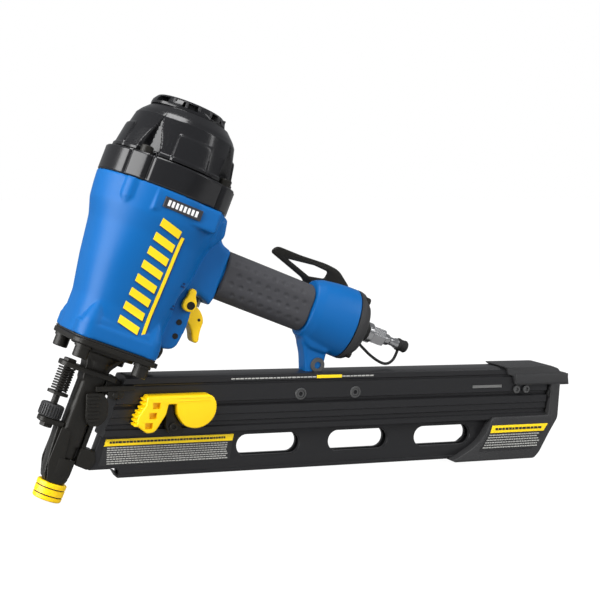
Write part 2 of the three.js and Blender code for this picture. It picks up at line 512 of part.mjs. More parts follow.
add(tool, 'front_bracket', frontBracket(), BLACK_STEEL);
add(magazine, 'magazine_rail', magazineRail(), ANODISED);
add(magazine, 'magazine_blade', magazineBlade(), ANODISED);
add(magazine, 'rear_cap', rearCap(), BLACK_PLASTIC);
add(magazine, 'pusher_handle', pusherHandle(), YELLOW);
add(magazine, 'pusher_bracket', pusherBracket(), BLACK_STEEL);
add(magazine, 'follower', follower(), STEEL);
add(magazine, 'nail_stop', box(387.8, 419.5, -12.6, -10.2, 81, 83.6), STEEL);
SIDE_SCREWS.forEach((x, i) => add(magazine, `side_screw_${i + 1}`,
  join(rodY(3.6, -12.8, -10.6, x, SCREW_Z, 14), rodY(1.9, -11, -8.8, x, SCREW_Z, 10)), BLACK_STEEL));
REAR_SCREWS.forEach((x, i) => add(magazine, `rear_screw_${i + 1}`,
  join(rodY(3.6, -15.3, -13.3, x, REAR_SCREW_Z, 14), rodY(1.9, -14, -8.8, x, REAR_SCREW_Z, 10)), BLACK_STEEL));

export default root;
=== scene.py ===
"""Looks of a pneumatic framing nailer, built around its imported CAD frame.

Shapes are drawn in millimetres in two working frames and carried into the row frame by a matrix:
  TOOL      x rearward, y to the tool's right, z up the driver axis from the tip of the nose pad
  MAGAZINE  x rearward along the magazine, z square to it, same origin
"""
import json
import math

import bmesh
import bpy
from mathutils import Matrix, Vector, noise


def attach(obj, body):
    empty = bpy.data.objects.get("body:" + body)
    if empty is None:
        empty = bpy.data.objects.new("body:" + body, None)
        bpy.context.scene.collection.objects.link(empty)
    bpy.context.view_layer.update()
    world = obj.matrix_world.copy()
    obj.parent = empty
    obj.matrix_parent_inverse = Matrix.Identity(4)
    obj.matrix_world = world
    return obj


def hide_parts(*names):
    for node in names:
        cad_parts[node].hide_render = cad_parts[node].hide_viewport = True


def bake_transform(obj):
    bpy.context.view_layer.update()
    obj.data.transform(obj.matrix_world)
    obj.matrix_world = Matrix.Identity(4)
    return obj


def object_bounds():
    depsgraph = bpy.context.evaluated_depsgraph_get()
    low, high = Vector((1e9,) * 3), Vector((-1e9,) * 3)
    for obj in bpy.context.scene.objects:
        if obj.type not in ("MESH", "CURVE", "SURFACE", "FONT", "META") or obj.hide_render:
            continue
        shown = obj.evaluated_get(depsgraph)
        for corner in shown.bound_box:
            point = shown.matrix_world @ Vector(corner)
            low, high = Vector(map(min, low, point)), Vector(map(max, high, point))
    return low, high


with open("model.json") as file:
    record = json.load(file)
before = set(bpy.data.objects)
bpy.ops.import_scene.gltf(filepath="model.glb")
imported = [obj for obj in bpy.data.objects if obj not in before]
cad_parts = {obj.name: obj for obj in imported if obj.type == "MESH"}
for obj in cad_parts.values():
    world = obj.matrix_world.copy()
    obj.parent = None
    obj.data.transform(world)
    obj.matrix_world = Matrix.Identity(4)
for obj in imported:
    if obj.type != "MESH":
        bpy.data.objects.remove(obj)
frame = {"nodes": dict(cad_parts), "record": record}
cad_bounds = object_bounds()
FLOOR_Z = cad_bounds[0][2]

# ---- working frames
JOINTS = {joint["name"]: joint for joint in frame["record"]["behaviour"]["joints"]}
DRIVER_AXIS = Vector(JOINTS["deflector_turn"]["axis"])
MAGAZINE_AXIS = Vector(JOINTS["pusher_travel"]["axis"])
TRIGGER_PIN = (49.4, 185)  # in the tool frame
TILT = Matrix.Rotation(math.atan2(DRIVER_AXIS.x, DRIVER_AXIS.z), 4, "Y")
MAGAZINE_TILT = Matrix.Rotation(math.atan2(-MAGAZINE_AXIS.z, MAGAZINE_AXIS.x), 4, "Y")
MM = 0.001
ORIGIN = Vector(JOINTS["trigger_pull"]["pos_m"]) - TILT @ Vector((TRIGGER_PIN[0], 0, TRIGGER_PIN[1])) * MM
TOOL = Matrix.Translation(ORIGIN) @ TILT @ Matrix.Scale(MM, 4)
MAGAZINE = Matrix.Translation(ORIGIN) @ MAGAZINE_TILT @ Matrix.Scale(MM, 4)

# ---- dimensions shared by several pieces, mm
BODY_Z = 134.0
BODY_TOP = 262.0
RING_Z = 262.3
RING_TOP = 283.0
RING_RADIUS = 55.0
CAP_Z = 284.6
CAP_TOP = 327.0
DEFLECTOR_X = -2.5
FLANGE = (35.6, 39.5, 12)  # half length, half width and corner radius where nose and housing meet
HANDLE_Z = 218.8
GRIP_START = 69.5
GRIP_END = 154.5
BELL_FLATNESS = 0.78  # width over height of the handle's end
CAP_BOLT = 35.0
NOSE_BOLT = (25.4, 31.0)
BOLT_ORDER = [(-1, -1), (1, -1), (1, 1), (-1, 1)]
ROD_X = -22.0
WHEEL_Z = (63, 74)
BLADE_Y = 6.5
SIDE_SCREW_X = (214.8, 267.3)
FRONT_LEAN = math.tan(math.radians(19.5))  # of the magazine's front end


# ---- materials
WORN_COLOUR = (0.32, 0.31, 0.29, 1)
RELIEF_DEPTH = 0.0004


def material(name, color, roughness, metallic=0.0, grain=900.0, bump=0.05, variation=0.08, coat=0.0,
             stretch=(1, 1, 1), scuffs=0.0, shine=0.5):
    """A finish whose colour, roughness and fine relief all vary over the piece."""
    mat = bpy.data.materials.new(name)
    mat.use_nodes = True
    nodes = mat.node_tree.nodes
    link = mat.node_tree.links.new
    shader = nodes["Principled BSDF"]
    shader.inputs["Metallic"].default_value = metallic
    shader.inputs["Specular IOR Level"].default_value = shine
    shader.inputs["Coat Weight"].default_value = coat
    shader.inputs["Coat Roughness"].default_value = 0.12

    place = nodes.new("ShaderNodeTexCoord")
    scale = nodes.new("ShaderNodeMapping")
    scale.inputs["Scale"].default_value = stretch
    link(place.outputs["Object"], scale.inputs["Vector"])

    def cloud(size, detail):
        made = nodes.new("ShaderNodeTexNoise")
        made.inputs["Scale"].default_value = size
        made.inputs["Detail"].default_value = detail
        link(scale.outputs["Vector"], made.inputs["Vector"])
        return made.outputs["Fac"]

    def ranged(value, low, high):
        made = nodes.new("ShaderNodeMapRange")
        made.inputs["To Min"].default_value = low
        made.inputs["To Max"].default_value = high
        link(value, made.inputs["Value"])
        return made

    fine = cloud(grain, 4.0)
    broad = cloud(28.0, 6.0)
    tone = ranged(broad, 1.0 - variation, 1.0 + variation)
    tinted = nodes.new("ShaderNodeVectorMath")
    tinted.operation = "SCALE"
    tinted.inputs[0].default_value = color
    link(tone.outputs["Result"], tinted.inputs["Scale"])
    worn = nodes.new("ShaderNodeMix")
    worn.data_type = "RGBA"
    worn.inputs["B"].default_value = WORN_COLOUR
    link(tinted.outputs["Vector"], worn.inputs["A"])
    scratch = ranged(fine, 0.0, scuffs)
    scratch.inputs["From Min"].default_value = 0.68
    scratch.inputs["From Max"].default_value = 0.8
    link(scratch.outputs["Result"], worn.inputs["Factor"])
    link(worn.outputs["Result"], shader.inputs["Base Color"])

    gloss = ranged(broad, roughness * 0.85, min(1.0, roughness * 1.2))
    link(gloss.outputs["Result"], shader.inputs["Roughness"])

    relief = nodes.new("ShaderNodeBump")
    relief.inputs["Strength"].default_value = bump
    relief.inputs["Distance"].default_value = RELIEF_DEPTH
    link(fine, relief.inputs["Height"])
    link(relief.outputs["Normal"], shader.inputs["Normal"])
    return mat


BLUE = material("blue_paint", (0.0005, 0.098, 0.325), 0.42, grain=1500, bump=0.05, variation=0.05, shine=0.3)
BLACK_PAINT = material("black_paint", (0.007, 0.007, 0.008), 0.2, grain=1800, bump=0.015, coat=0.3)
BLACK_STEEL = material("black_steel", (0.014, 0.013, 0.011), 0.4, metallic=0.3, grain=1300, bump=0.25,
                       scuffs=0.2)
ANODISED = material("anodised", (0.034, 0.034, 0.036), 0.3, metallic=0.6, grain=700, bump=0.12,
                    stretch=(0.05, 1, 1))
RUBBER = material("grip_rubber", (0.045, 0.045, 0.05), 0.72, grain=2600, bump=0.4, variation=0.12)
YELLOW = material("yellow_plastic", (0.95, 0.6, 0.0), 0.38, grain=1700, bump=0.08, variation=0.04, coat=0.1)
PLASTIC = material("black_plastic", (0.028, 0.028, 0.029), 0.5, grain=2400, bump=0.3)
SCREW = material("screw_black", (0.16, 0.16, 0.16), 0.3, metallic=0.8, grain=900, bump=0.05)
CHROME = material("chrome", (0.62, 0.62, 0.63), 0.24, metallic=1.0, grain=600, bump=0.02, variation=0.03)
STEEL = material("steel", (0.45, 0.45, 0.44), 0.32, metallic=1.0, grain=1200, bump=0.08)
SEAL = material("seal", (0.012, 0.012, 0.012), 0.6, grain=2000, bump=0.2)
LABEL = material("label_black", (0.02, 0.02, 0.021), 0.45, grain=2000, bump=0.03)
PRINT = material("label_print", (0.38, 0.38, 0.36), 0.55, grain=2600, bump=0.02, variation=0.25)
DECAL = material("decal_yellow", (0.95, 0.66, 0.006), 0.4, grain=1700, bump=0.03, variation=0.03)
SHADOW_LINE = material("decal_shadow", (0.003, 0.02, 0.1), 0.45, grain=1700, bump=0.03)
LETTER = material("badge_print", (0.75, 0.75, 0.75), 0.5, grain=2600, bump=0.02, variation=0.05)
BADGE = material("badge_metal", (0.1, 0.1, 0.11), 0.35, metallic=0.8, grain=900, bump=0.05,
                 stretch=(0.1, 1, 1))


# ---- mesh helpers
def placed(name, data):
    """An object that holds the data, linked into the scene."""
    obj = bpy.data.objects.new(name, data)
    bpy.context.scene.collection.objects.link(obj)
    return obj


def baked(obj):
    """The mesh of a temporary object after its modifiers; the object is removed."""
    mesh = bpy.data.meshes.new_from_object(obj.evaluated_get(bpy.context.evaluated_depsgraph_get()))
    bpy.data.objects.remove(obj)
    return mesh


def cleaned(mesh, weld):
    """The mesh with its near points welded and its normals made consistent."""
    work = bmesh.new()
    work.from_mesh(mesh)
    bmesh.ops.remove_doubles(work, verts=work.verts, dist=weld)
    bmesh.ops.recalc_face_normals(work, faces=work.faces)
    work.to_mesh(mesh)
    work.free()
    return mesh


def piece(name, mesh, place, mat, body="tool", nodes=(), smooth=35.0):
    """A mesh drawn in mm, carried into the row frame, shaded, and riding on a CAD body."""
    mesh.name = name
    mesh.transform(place)
    mesh.materials.clear()
    mesh.materials.append(mat)
    mesh.shade_smooth()
    mesh.set_sharp_from_angle(angle=math.radians(smooth))
    obj = placed(name, mesh)
    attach(obj, body)
    if nodes:
        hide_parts(*nodes)
    return obj


def solid(verts, faces):
    """A mesh from points and faces."""
    mesh = bpy.data.meshes.new("solid")
    mesh.from_pydata(verts, [], faces)
    return cleaned(mesh, 1e-4)


def loft(rings, close_ends=True, ring_loop=False):
    """Skins a list of equal rings of points. ring_loop joins the last ring to the first."""
    count = len(rings[0])
    verts = [point for ring in rings for point in ring]
    faces = []
    spans = len(rings) if ring_loop else len(rings) - 1
    for i in range(spans):
        a = i * count
        b = ((i + 1) % len(rings)) * count
        for j in range(count):
            k = (j + 1) % count
            faces.append((a + j, a + k, b + k, b + j))
    if close_ends and not ring_loop:
        faces.append(tuple(range(count)))
        faces.append(tuple(range(len(verts) - count, len(verts))))
    return solid(verts, faces)


def radial(heights, radius, sides=128, x=0.0, y=0.0):
    """A body round a line along z whose radius is any function of the turn and the height."""
    turns = [2 * math.pi * j / sides for j in range(sides)]
    return loft([[(x + radius(t, z) * math.cos(t), y + radius(t, z) * math.sin(t), z) for t in turns]
                 for z in heights])


def turned(profile, sides, point):
    """Turns (radius, along) stops about an axis; one that keeps off the axis closes on itself as a ring."""
    ring_loop = profile[0][0] > 0 and profile[-1][0] > 0
    turns = [2 * math.pi * j / sides for j in range(sides)]
    rings = []
    for radius, along in profile:
        r = max(radius, 0.01)
        rings.append([point(r * math.cos(t), r * math.sin(t), along) for t in turns])
    return loft(rings, ring_loop=ring_loop)


def lathe_z(profile, sides=64, x=0.0, y=0.0):
    """A turned body; profile is a list of (radius, z)."""
    return turned(profile, sides, lambda u, v, z: (x + u, y + v, z))


def lathe_x(profile, z, sides=64, flatness=1.0, y=0.0):
    """A turned body about a line along x; profile is a list of (radius, x)."""
    return turned(profile, sides, lambda u, v, x: (x, y + u * flatness, z + v))


def lathe_y(profile, x, z, sides=40):
    """A turned body about a line along y; profile is a list of (radius, y)."""
    return turned(profile, sides, lambda u, v, y: (x + u, y, z + v))


def rounded(corners, arc_steps=6):
    """A closed outline whose corners (u, v, radius) are rounded, as far as the edges allow."""
    points = []
    for i, (u, v, radius) in enumerate(corners):
        at = Vector((u, v))
        before = Vector(corners[i - 1][:2])
        after = Vector(corners[(i + 1) % len(corners)][:2])
        reach = min(radius, 0.49 * (at - before).length, 0.49 * (at - after).length)
        if reach < 0.05:
            points.append(at)
            continue
        enter = at + (before - at).normalized() * reach
        leave = at + (after - at).normalized() * reach
        weight = math.sin((before - at).angle(after - at) / 2)
        for k in range(arc_steps + 1):
            t = k / arc_steps
            pull = 2 * weight * t * (1 - t)
            share = (1 - t) ** 2 + pull + t * t
            points.append((enter * (1 - t) ** 2 + at * pull + leave * t * t) / share)
    return points


def flat_curve(outlines, thickness, bevel):
    """A bevelled plate in the local xy plane, centred on z 0, with holes where outlines nest."""
    curve = bpy.data.curves.new("plate", "CURVE")
    curve.dimensions = "2D"
    curve.fill_mode = "BOTH"
    curve.extrude = thickness / 2 - bevel
    curve.bevel_depth = bevel
    curve.bevel_resolution = 2
    curve.offset = -bevel
    for outline in outlines:
        spline = curve.splines.new("POLY")
        spline.points.add(len(outline) - 1)
        for point, (u, v) in zip(spline.points, outline):
            point.co = (u, v, 0, 1)
        spline.use_cyclic_u = True
    mesh = baked(placed("plate", curve))
    bpy.data.curves.remove(curve)
    return cleaned(mesh, 0.002)


def side_plate(outlines, y0, y1, bevel=0.6):
    """Outlines in the x-z plane, thickened from y0 to y1, with rounded edges."""
    mesh = flat_curve([rounded(outline) for outline in outlines], y1 - y0, bevel)
    mesh.transform(Matrix.Translation((0, (y0 + y1) / 2, 0)) @ Matrix.Rotation(math.pi / 2, 4, "X"))
    return mesh


def flat_plate(outlines, z0, z1, bevel=0.6):
    """Outlines in the x-y plane, thickened from z0 to z1."""
    mesh = flat_curve([rounded(outline) for outline in outlines], z1 - z0, bevel)
    mesh.transform(Matrix.Translation((0, 0, (z0 + z1) / 2)))
    return mesh


def rectangle(half_u, half_v, radius, u=0.0, v=0.0):
    return [(u - half_u, v - half_v, radius), (u + half_u, v - half_v, radius),
            (u + half_u, v + half_v, radius), (u - half_u, v + half_v, radius)]


def block(x0, x1, y0, y1, z0, z1, bevel=0.4):
    return side_plate([[(x0, z0, 0), (x1, z0, 0), (x1, z1, 0), (x0, z1, 0)]], y0, y1, bevel)


def bar(corners, x0, x1):
    """An outline in the y-z plane, swept from x0 to x1."""
    outline = rounded(corners, 4)
    return loft([[(x, p.x, p.y) for p in outline] for x in (x0, x1)])


def joined(*meshes):
    """One mesh of several, which may run through one another."""
    work = bmesh.new()
    for mesh in meshes:
        work.from_mesh(mesh)
    whole = bpy.data.meshes.new("joined")
    work.to_mesh(whole)
    work.free()
    return whole


def cast(mesh, voxel, softness):
    """Fuses the bodies of a mesh into one skin with soft inner corners, as a casting has."""
    carrier = placed("cast", mesh)
    remesh = carrier.modifiers.new("fuse", "REMESH")
    remesh.mode = "VOXEL"
    remesh.voxel_size = voxel
    smooth = carrier.modifiers.new("soften", "SMOOTH")
    smooth.factor = 0.5
    smooth.iterations = softness
    return baked(carrier)


def carve(mesh, *cutters):
    """Takes cutters out of a mesh."""
    body = placed("body", mesh)
    tools = [placed("cutter", cutter) for cutter in cutters]
    for tool in tools:
        cut = body.modifiers.new("cut", "BOOLEAN")
        cut.operation = "DIFFERENCE"
        cut.solver = "EXACT"
        cut.object = tool
    result = baked(body)
    for tool in tools:
        bpy.data.objects.remove(tool)
    return result


def between(value, stops):
    """Straight-line interpolation through (at, value) stops."""
    if value <= stops[0][0]:
        return stops[0][1]
    for (a, va), (b, vb) in zip(stops, stops[1:]):
        if value <= b:
            return va + (vb - va) * (value - a) / (b - a)
    return stops[-1][1]


def ease(value):
    """Rises smoothly from 0 to 1 as value does."""
    t = min(1.0, max(0.0, value))
    return t * t * (3 - 2 * t)


def away(turn, centre):
    """Smallest angle between two turns."""
    return abs((turn - centre + math.pi) % (2 * math.pi) - math.pi)


def steps(a, b, count):
    """Even steps from a to b, both included."""
    return [a + (b - a) * i / count for i in range(count + 1)]


QUARTERS = [math.pi / 4 + i * math.pi / 2 for i in range(4)]
CORNERS = [(sx, sy) for sx in (-1, 1) for sy in (-1, 1)]

# ---- housing
BARREL = [(BODY_Z, 40), (165, 40), (195, 45.3), (226, 49.4), (240, 53.6), (BODY_TOP, 55)]
FACET_CORNER = math.radians(24.6)  # the turn at which BARREL gives the radius


def barrel_power(z):
    """How square the barrel is: 2 is round, as it is at the top."""
    return between(z, [(150, 3.2), (200, 2.9), (235, 2.3), (250, 2.0)])


def squareness(turn, power):
    """Half the width between the flats over the radius at a turn."""
    return (abs(math.cos(turn)) ** power + abs(math.sin(turn)) ** power) ** (1 / power)


def barrel_half(z):
    """Half the width of the barrel between its flats."""
    return between(z, BARREL) * squareness(FACET_CORNER, barrel_power(z))


def barrel_radius(turn, z):
    return barrel_half(z) / squareness(turn, barrel_power(z))


def barrel_body():
    """The barrel with a pocket for the selector, its skirt and waist, bolt bosses and top shelves."""
    pocket = lathe_y([(0, -60), (16, -60), (16, -17.2), (0, -17.2)], *TRIGGER_PIN)
    barrel = carve(radial(steps(BODY_Z, BODY_TOP, 48), barrel_radius, 144), pocket)
    skirt = flat_plate([rectangle(*FLANGE)], BODY_Z, 146, 1.5)
    waist = flat_plate([rectangle(33.5, 37.5, 13)], 145, 152, 2)
    upper = [(0, 230), (1, 231), (7.4, 247), (7.8, BODY_TOP), (0, BODY_TOP)]
    lower = [(0, BODY_Z), (8.8, BODY_Z), (8.4, 148), (5.5, 157), (1, 167), (0, 168)]
    bosses = [lathe_z(upper, 32, sx * CAP_BOLT, sy * CAP_BOLT) for sx, sy in CORNERS]
    bosses += [lathe_z(lower, 32, sx * NOSE_BOLT[0], sy * (NOSE_BOLT[1] - 0.5)) for sx, sy in CORNERS]
    shelves = [block(-20, 36, *sorted((side * 30, side * 52.4)), 243.5, BODY_TOP, 2) for side in (-1, 1)]
    return [barrel, skirt, waist, *bosses, *shelves]


def handle_body():
    """The neck and trigger cheeks, the core under the grip, the bell, and the foot on the magazine."""
    neck = side_plate([[(20, 252, 0), (54, 250, 4), (60, 241, 4), (69, 239, 3), (69, 197.5, 3), (67, 190, 2),
                        (60, 193.5, 3), (50, 196, 3), (20, 196, 0)]], -16.9, 16.9, 4)
    flare = side_plate([[(20, BODY_TOP, 0), (52, 261, 2), (55, 246, 3), (46, 232, 4), (20, 226, 0)]],
                       -30, 30, 6)
    cheek = [(20, 198, 0), (53, 198, 0), (53.5, 186, 3), (54.6, 166, 4), (52, 147, 6), (40, 144, 4),
             (35, 150, 3), (20, 150, 0)]
    cheeks = [side_plate([cheek], y0, y1, 0.8) for y0, y1 in ((-17, -9.7), (9.7, 17))]
    core = lathe_x([(0, 60), (18, 60), (18, 158), (0, 158)], HANDLE_Z, 40, 0.84)
    bell = lathe_x([(0, 155), (20, 155), (25, 156.5), (28, 164), (30, 178), (31, 190), (31.2, 198.6),
                    (0, 198.6)], HANDLE_Z, 72, BELL_FLATNESS)
    foot = side_plate([[(159, 200, 0), (161.5, 190.5, 6), (168.5, 180.5, 4), (176.5, 163, 2), (188, 168, 4),
                        (189, 182, 4), (187.5, 190, 3), (193, 200, 0)]], -8, 8, 2)
    web = side_plate([[(158, 202, 0), (160, 193, 4), (168, 187, 4), (186, 187, 4), (190, 192, 4),
                       (192, 202, 0)]], -12, 12, 4)
    hook_boss = lathe_y([(0, 14), (9.4, 14), (9.2, 33.6), (0, 33.6)], 183, 222)
    return [neck, flare, *cheeks, core, bell, foot, web, hook_boss]


def housing():
    fused = cast(joined(*barrel_body(), *handle_body()), 1.0, 5)
    piece("housing_shell", fused, TOOL, BLUE, "tool", ["housing"], 60)


def on_barrel(x, z, lift):
    """The point of the near side of the barrel at x and z, lifted off it, in mm."""
    power = barrel_power(z)
    half = barrel_half(z) + lift
    return (x, -(half ** power - abs(x) ** power) ** (1 / power), z)


def barrel_patch(corners, lift, rows=6, columns=10):
    """A thin patch on the barrel's near side between four corners (x, z)."""
    def grid(height):
        points = []
        for i in range(rows + 1):
            for j in range(columns + 1):
                s, t = j / columns, i / rows
                low = Vector(corners[0]).lerp(Vector(corners[1]), s)
                high = Vector(corners[3]).lerp(Vector(corners[2]), s)
                x, z = low.lerp(high, t)
                points.append(on_barrel(x, z, height))
        return points

    top = grid(lift)
    count = len(top)
    verts = top + grid(-0.6)
    faces = []
    for i in range(rows):
        for j in range(columns):
            a = i * (columns + 1) + j
            quad = (a, a + 1, a + columns + 2, a + columns + 1)
            faces.append(quad)
            faces.append(tuple(k + count for k in reversed(quad)))
    rim = [*range(columns), *(i * (columns + 1) + columns for i in range(rows))]
    rim += [*(count - 1 - j for j in range(columns)), *((rows - i) * (columns + 1) for i in range(rows))]
    for k, a in enumerate(rim):
        b = rim[(k + 1) % len(rim)]
        faces.append((a, b, b + count, a + count))
    return solid(verts, faces)


def side_graphic():
    """Slanted bars over one long line: a plain graphic with no lettering."""
    line = [(13.5, 148.0), (16.3, 148.0), (14.6, 232.0), (11.8, 232.0)]
    piece("graphic_line", barrel_patch(line, 0.55, 24, 3), TOOL, DECAL)
    shade = [(16.2, 147.4), (17.3, 147.4), (15.6, 231.2), (14.5, 231.2)]
    piece("graphic_line_shade", barrel_patch(shade, 0.5, 24, 2), TOOL, SHADOW_LINE)
    bars = []
    shades = []
    for i in range(8):
        z = 148.5 + i * 11.6
        bars.append(barrel_patch([(-8.5, z + 4.5), (10.0, z), (10.0, z + 6.2), (-8.5, z + 10.7)], 0.55))
        shades.append(barrel_patch([(-8.0, z + 3.7), (10.8, z - 0.9), (10.8, z + 4), (-8.0, z + 8.5)], 0.45))
    piece("graphic_bars", joined(*bars), TOOL, DECAL)
    piece("graphic_bar_shades", joined(*shades), TOOL, SHADOW_LINE)


def badge():
    """A name plate that carries plain bars in place of a name."""
    plate = block(-13, 19.5, -54.85, -51, 248.4, 256.8, 0.3)
    piece("badge_plate", plate, TOOL, BADGE)
    bars = [block(-10 + i * 3.4, -7.9 + i * 3.4, -55.05, -54, 250.2, 254.9, 0.15) for i in range(8)]
    piece("badge_bars", joined(*bars), TOOL, LETTER)


housing()
side_graphic()
badge()


# ---- cap ring, cap and deflector
def ring_radius(turn, z):
    """Round, with a low lug between two grooves at each bolt."""
    radius = RING_RADIUS
    for corner in QUARTERS:
        offset = away(turn, corner) * RING_RADIUS
        radius += 1.5 * (1 - ease((offset - 7) / 2))
        radius -= 1.6 * math.exp(-((offset - 10) / 1.3) ** 2)
    edge = min(z - RING_Z, RING_TOP - z)
    return radius - 0.9 * (1 - ease(edge / 0.9))


def cap_ring():
    heights = [RING_Z, 262.6, 263.2, 264] + steps(266, 279, 6) + [281.3, 282.1, 282.7, RING_TOP]
    piece("cap_ring_shell", radial(heights, ring_radius, 288), TOOL, BLACK_PAINT, "tool", ["cap_ring"], 50)


CAP_PROFILE = [(CAP_Z, 49.6), (287.2, 49.4), (288.2, 48.2), (303, 45.6), (316.6, 42.4), (317.6, 41.6),
               (320.5, 39.6), (326.2, 33.8), (CAP_TOP, 33)]
CAP_ARC = 48  # the radius that turns an angle round the cap into a length


def cap_radius(turn, z):
    """Tapered, with a hollow at each bolt and a raised panel low on each side."""
    radius = between(z, CAP_PROFILE)
    for corner in QUARTERS:
        offset = away(turn, corner) * CAP_ARC
        half = 9.0 * (1 - ease((z - 287) / 31)) + 0.2
        depth = 9.5 * (1 - ease((z - 286) / 34))
        radius -= depth * (1 - ease((offset - half * 0.55) / (half * 0.55 + 0.3)))
    for side in range(4):
        offset = away(turn, side * math.pi / 2 - 0.06) * CAP_ARC
        radius += 1.5 * ease((307 - z) / 1.8) * ease((15.5 - offset) / 1.8)
    return radius


def cylinder_cap():
    heights = steps(CAP_Z, 288.2, 6) + steps(288.8, 320, 52) + [321.5, 323, 324.5, 326.2, CAP_TOP]
    piece("cap_shell", radial(heights, cap_radius, 360), TOOL, BLACK_PAINT, "tool", ["cylinder_cap"], 40)
    rim = lathe_z([(40, 316.8), (41.9, 316.8), (41.9, 317.3), (40, 317.3)], 96)
    piece("cap_rim_line", rim, TOOL, SEAL)


def deflector_radius(turn, z):
    """Domed, with five vent windows round its side."""
    vents = [-math.pi / 2 + (i - 1.4) * 0.82 for i in range(5)]
    if 329.4 < z < 333.9 and any(away(turn, vent) < 0.2 for vent in vents):
        return 22.0
    return between(z, [(327.3, 31.6), (329.2, 31.6), (331.5, 31.0), (335.0, 28.4), (335.6, 27.4)])


def exhaust_deflector():
    heights = [327.3, 329.3, 329.5, 331.5, 333.8, 334.0, 335, 335.6]
    shell = radial(heights, deflector_radius, 220, DEFLECTOR_X)
    piece("deflector_shell", shell, TOOL, BLACK_PAINT, "deflector", ["exhaust_deflector"], 25)
    ribs = []
    for i in range(6):
        rib = block(24, 31.2, -1.1, 1.1, 329.2, 334.3, 0.3)
        rib.transform(Matrix.Translation((DEFLECTOR_X, 0, 0)) @ Matrix.Rotation(-2.35 + i * 0.35, 4, "Z"))
        ribs.append(rib)
    piece("deflector_ribs", joined(*ribs), TOOL, PLASTIC, "deflector")


def socket_screw(radius, z0, z1, x, y, socket=2.6):
    """A screw head along the tool's z axis, with a round socket in its outer face at z0."""
    sign = 1 if z1 > z0 else -1
    return lathe_z([(0, z0 + sign * 2.4), (socket, z0 + sign * 2.4), (socket, z0 + sign * 0.2),
                    (socket + 0.3, z0), (radius - 0.7, z0), (radius, z0 + sign * 0.7), (radius, z1), (0, z1)],
                   36, x, y)


def cap_bolts():
    for i, (sx, sy) in enumerate(BOLT_ORDER):
        head = socket_screw(5, 289, 283.3, sx * CAP_BOLT, sy * CAP_BOLT)
        piece(f"cap_bolt_head_{i + 1}", head, TOOL, BLACK_STEEL, "tool", [f"cap_bolt_{i + 1}"])


cap_ring()
cylinder_cap()
exhaust_deflector()
cap_bolts()


# ---- nose casting and its bolts
def nose():
    """The nose casting with its flange, and the gasket between it and the housing."""
    plate = flat_plate([rectangle(*FLANGE)], 127.8, 132.4, 0.6)
    under = flat_plate([rectangle(22, 26, 9)], 124.5, 129, 1)
    funnel = lathe_z([(0, 100), (9.6, 104), (10.8, 111), (12, 117), (16, 123.2), (27, 128), (0, 128)], 64)
    saddle = side_plate([[(-26, 129, 0), (-14.5, 123.8, 3), (-11, 112, 2), (-10, 100, 0), (9, 100, 0),
                          (10, 113, 2), (16, 121, 3), (27, 129, 0)]], -9, 9, 1.5)
    guide = flat_plate([rectangle(9.8, 9.4, 5.5, -0.2)], 46.9, 106.5, 0.8)
    collar = lathe_z([(0, 36), (9.4, 36), (9.6, 52), (0, 52)], 48)
    tip = lathe_z([(0, 13.8), (7, 13.8), (7, 60), (0, 60)], 40)
    fused = cast(joined(plate, under, funnel, saddle, guide, collar, tip), 0.8, 3)
    piece("nose_shell", fused, TOOL, BLACK_STEEL, "tool", ["nose_casting"], 50)
    seam = flat_plate([rectangle(35.2, 39.1, 12)], 132.6, 133.8, 0.2)
    piece("base_gasket_sheet", seam, TOOL, SEAL, "tool", ["base_gasket"])


def nose_bolts():
    for i, (sx, sy) in enumerate(BOLT_ORDER):
        x, y = sx * NOSE_BOLT[0], sy * NOSE_BOLT[1]
        head = joined(socket_screw(6.2, 117, 125.4, x, y, 3.0),
                      lathe_z([(0, 125.4), (7.2, 125.4), (7.2, 127.5), (0, 127.5)], 40, x, y))
        piece(f"nose_bolt_head_{i + 1}", head, TOOL, BLACK_STEEL, "tool", [f"nose_bolt_{i + 1}"])


def bracket():
    """The plate that the safety spring pushes against, and the nut on the rod above it."""
    plate = flat_plate([[(-29.8, -8, 5), (-10.4, -14.4, 2), (16, -14.4, 1.5), (16, -10, 1.5), (-10, -10, 0),
                         (-10, 8, 0), (-29.8, 8, 5)]], 105.7, 109.7, 0.5)
    piece("spring_bracket_plate", plate, TOOL, BLACK_STEEL, "tool", ["spring_bracket"])
    nut = lathe_z([(0, 109.9), (5.4, 109.9), (5.4, 111.8), (4.8, 112.3), (0, 112.3)], 6, ROD_X, 0)
    piece("rod_nut", nut, TOOL, BLACK_STEEL, "safety_arm")


def link_end():
    """A fixed cover over the end of the safety linkage, below the trigger cheeks."""
    shape = [(36.4, 134.5, 1), (43, 134.5, 3), (45, 143, 3), (40.5, 149, 2), (36.4, 147, 1)]
    piece("link_end_cover", side_plate([shape], -13, -7, 1), TOOL, BLACK_STEEL)


nose()
nose_bolts()
link_end()
bracket()


# ---- nose contact, springs and wheel
def let_go(obj):
    """Takes a piece off its body, so that a blend can carry it."""
    obj.parent = None
    obj.matrix_world = Matrix.Identity(4)


def coil(name, x, radius, wire, turns, z0, z1, node, mat):
    """A wound spring between two bodies."""
    rings = []
    count = round(40 * turns)
    up = Vector((0, 0, 1))
    for i in range(count + 1):
        turn = 2 * math.pi * turns * i / count
        rise = z0 + (z1 - z0) * i / count
        centre = Vector((x + radius * math.cos(turn), radius * math.sin(turn), rise))
        out = Vector((math.cos(turn), math.sin(turn), 0))
        rings.append([centre + (out * math.cos(a) + up * math.sin(a)) * wire
                      for a in (2 * math.pi * k / 10 for k in range(10))])
    spring = piece(name, loft(rings), TOOL, mat, "tool", [node], 80)
    let_go(spring)
    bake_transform(spring)


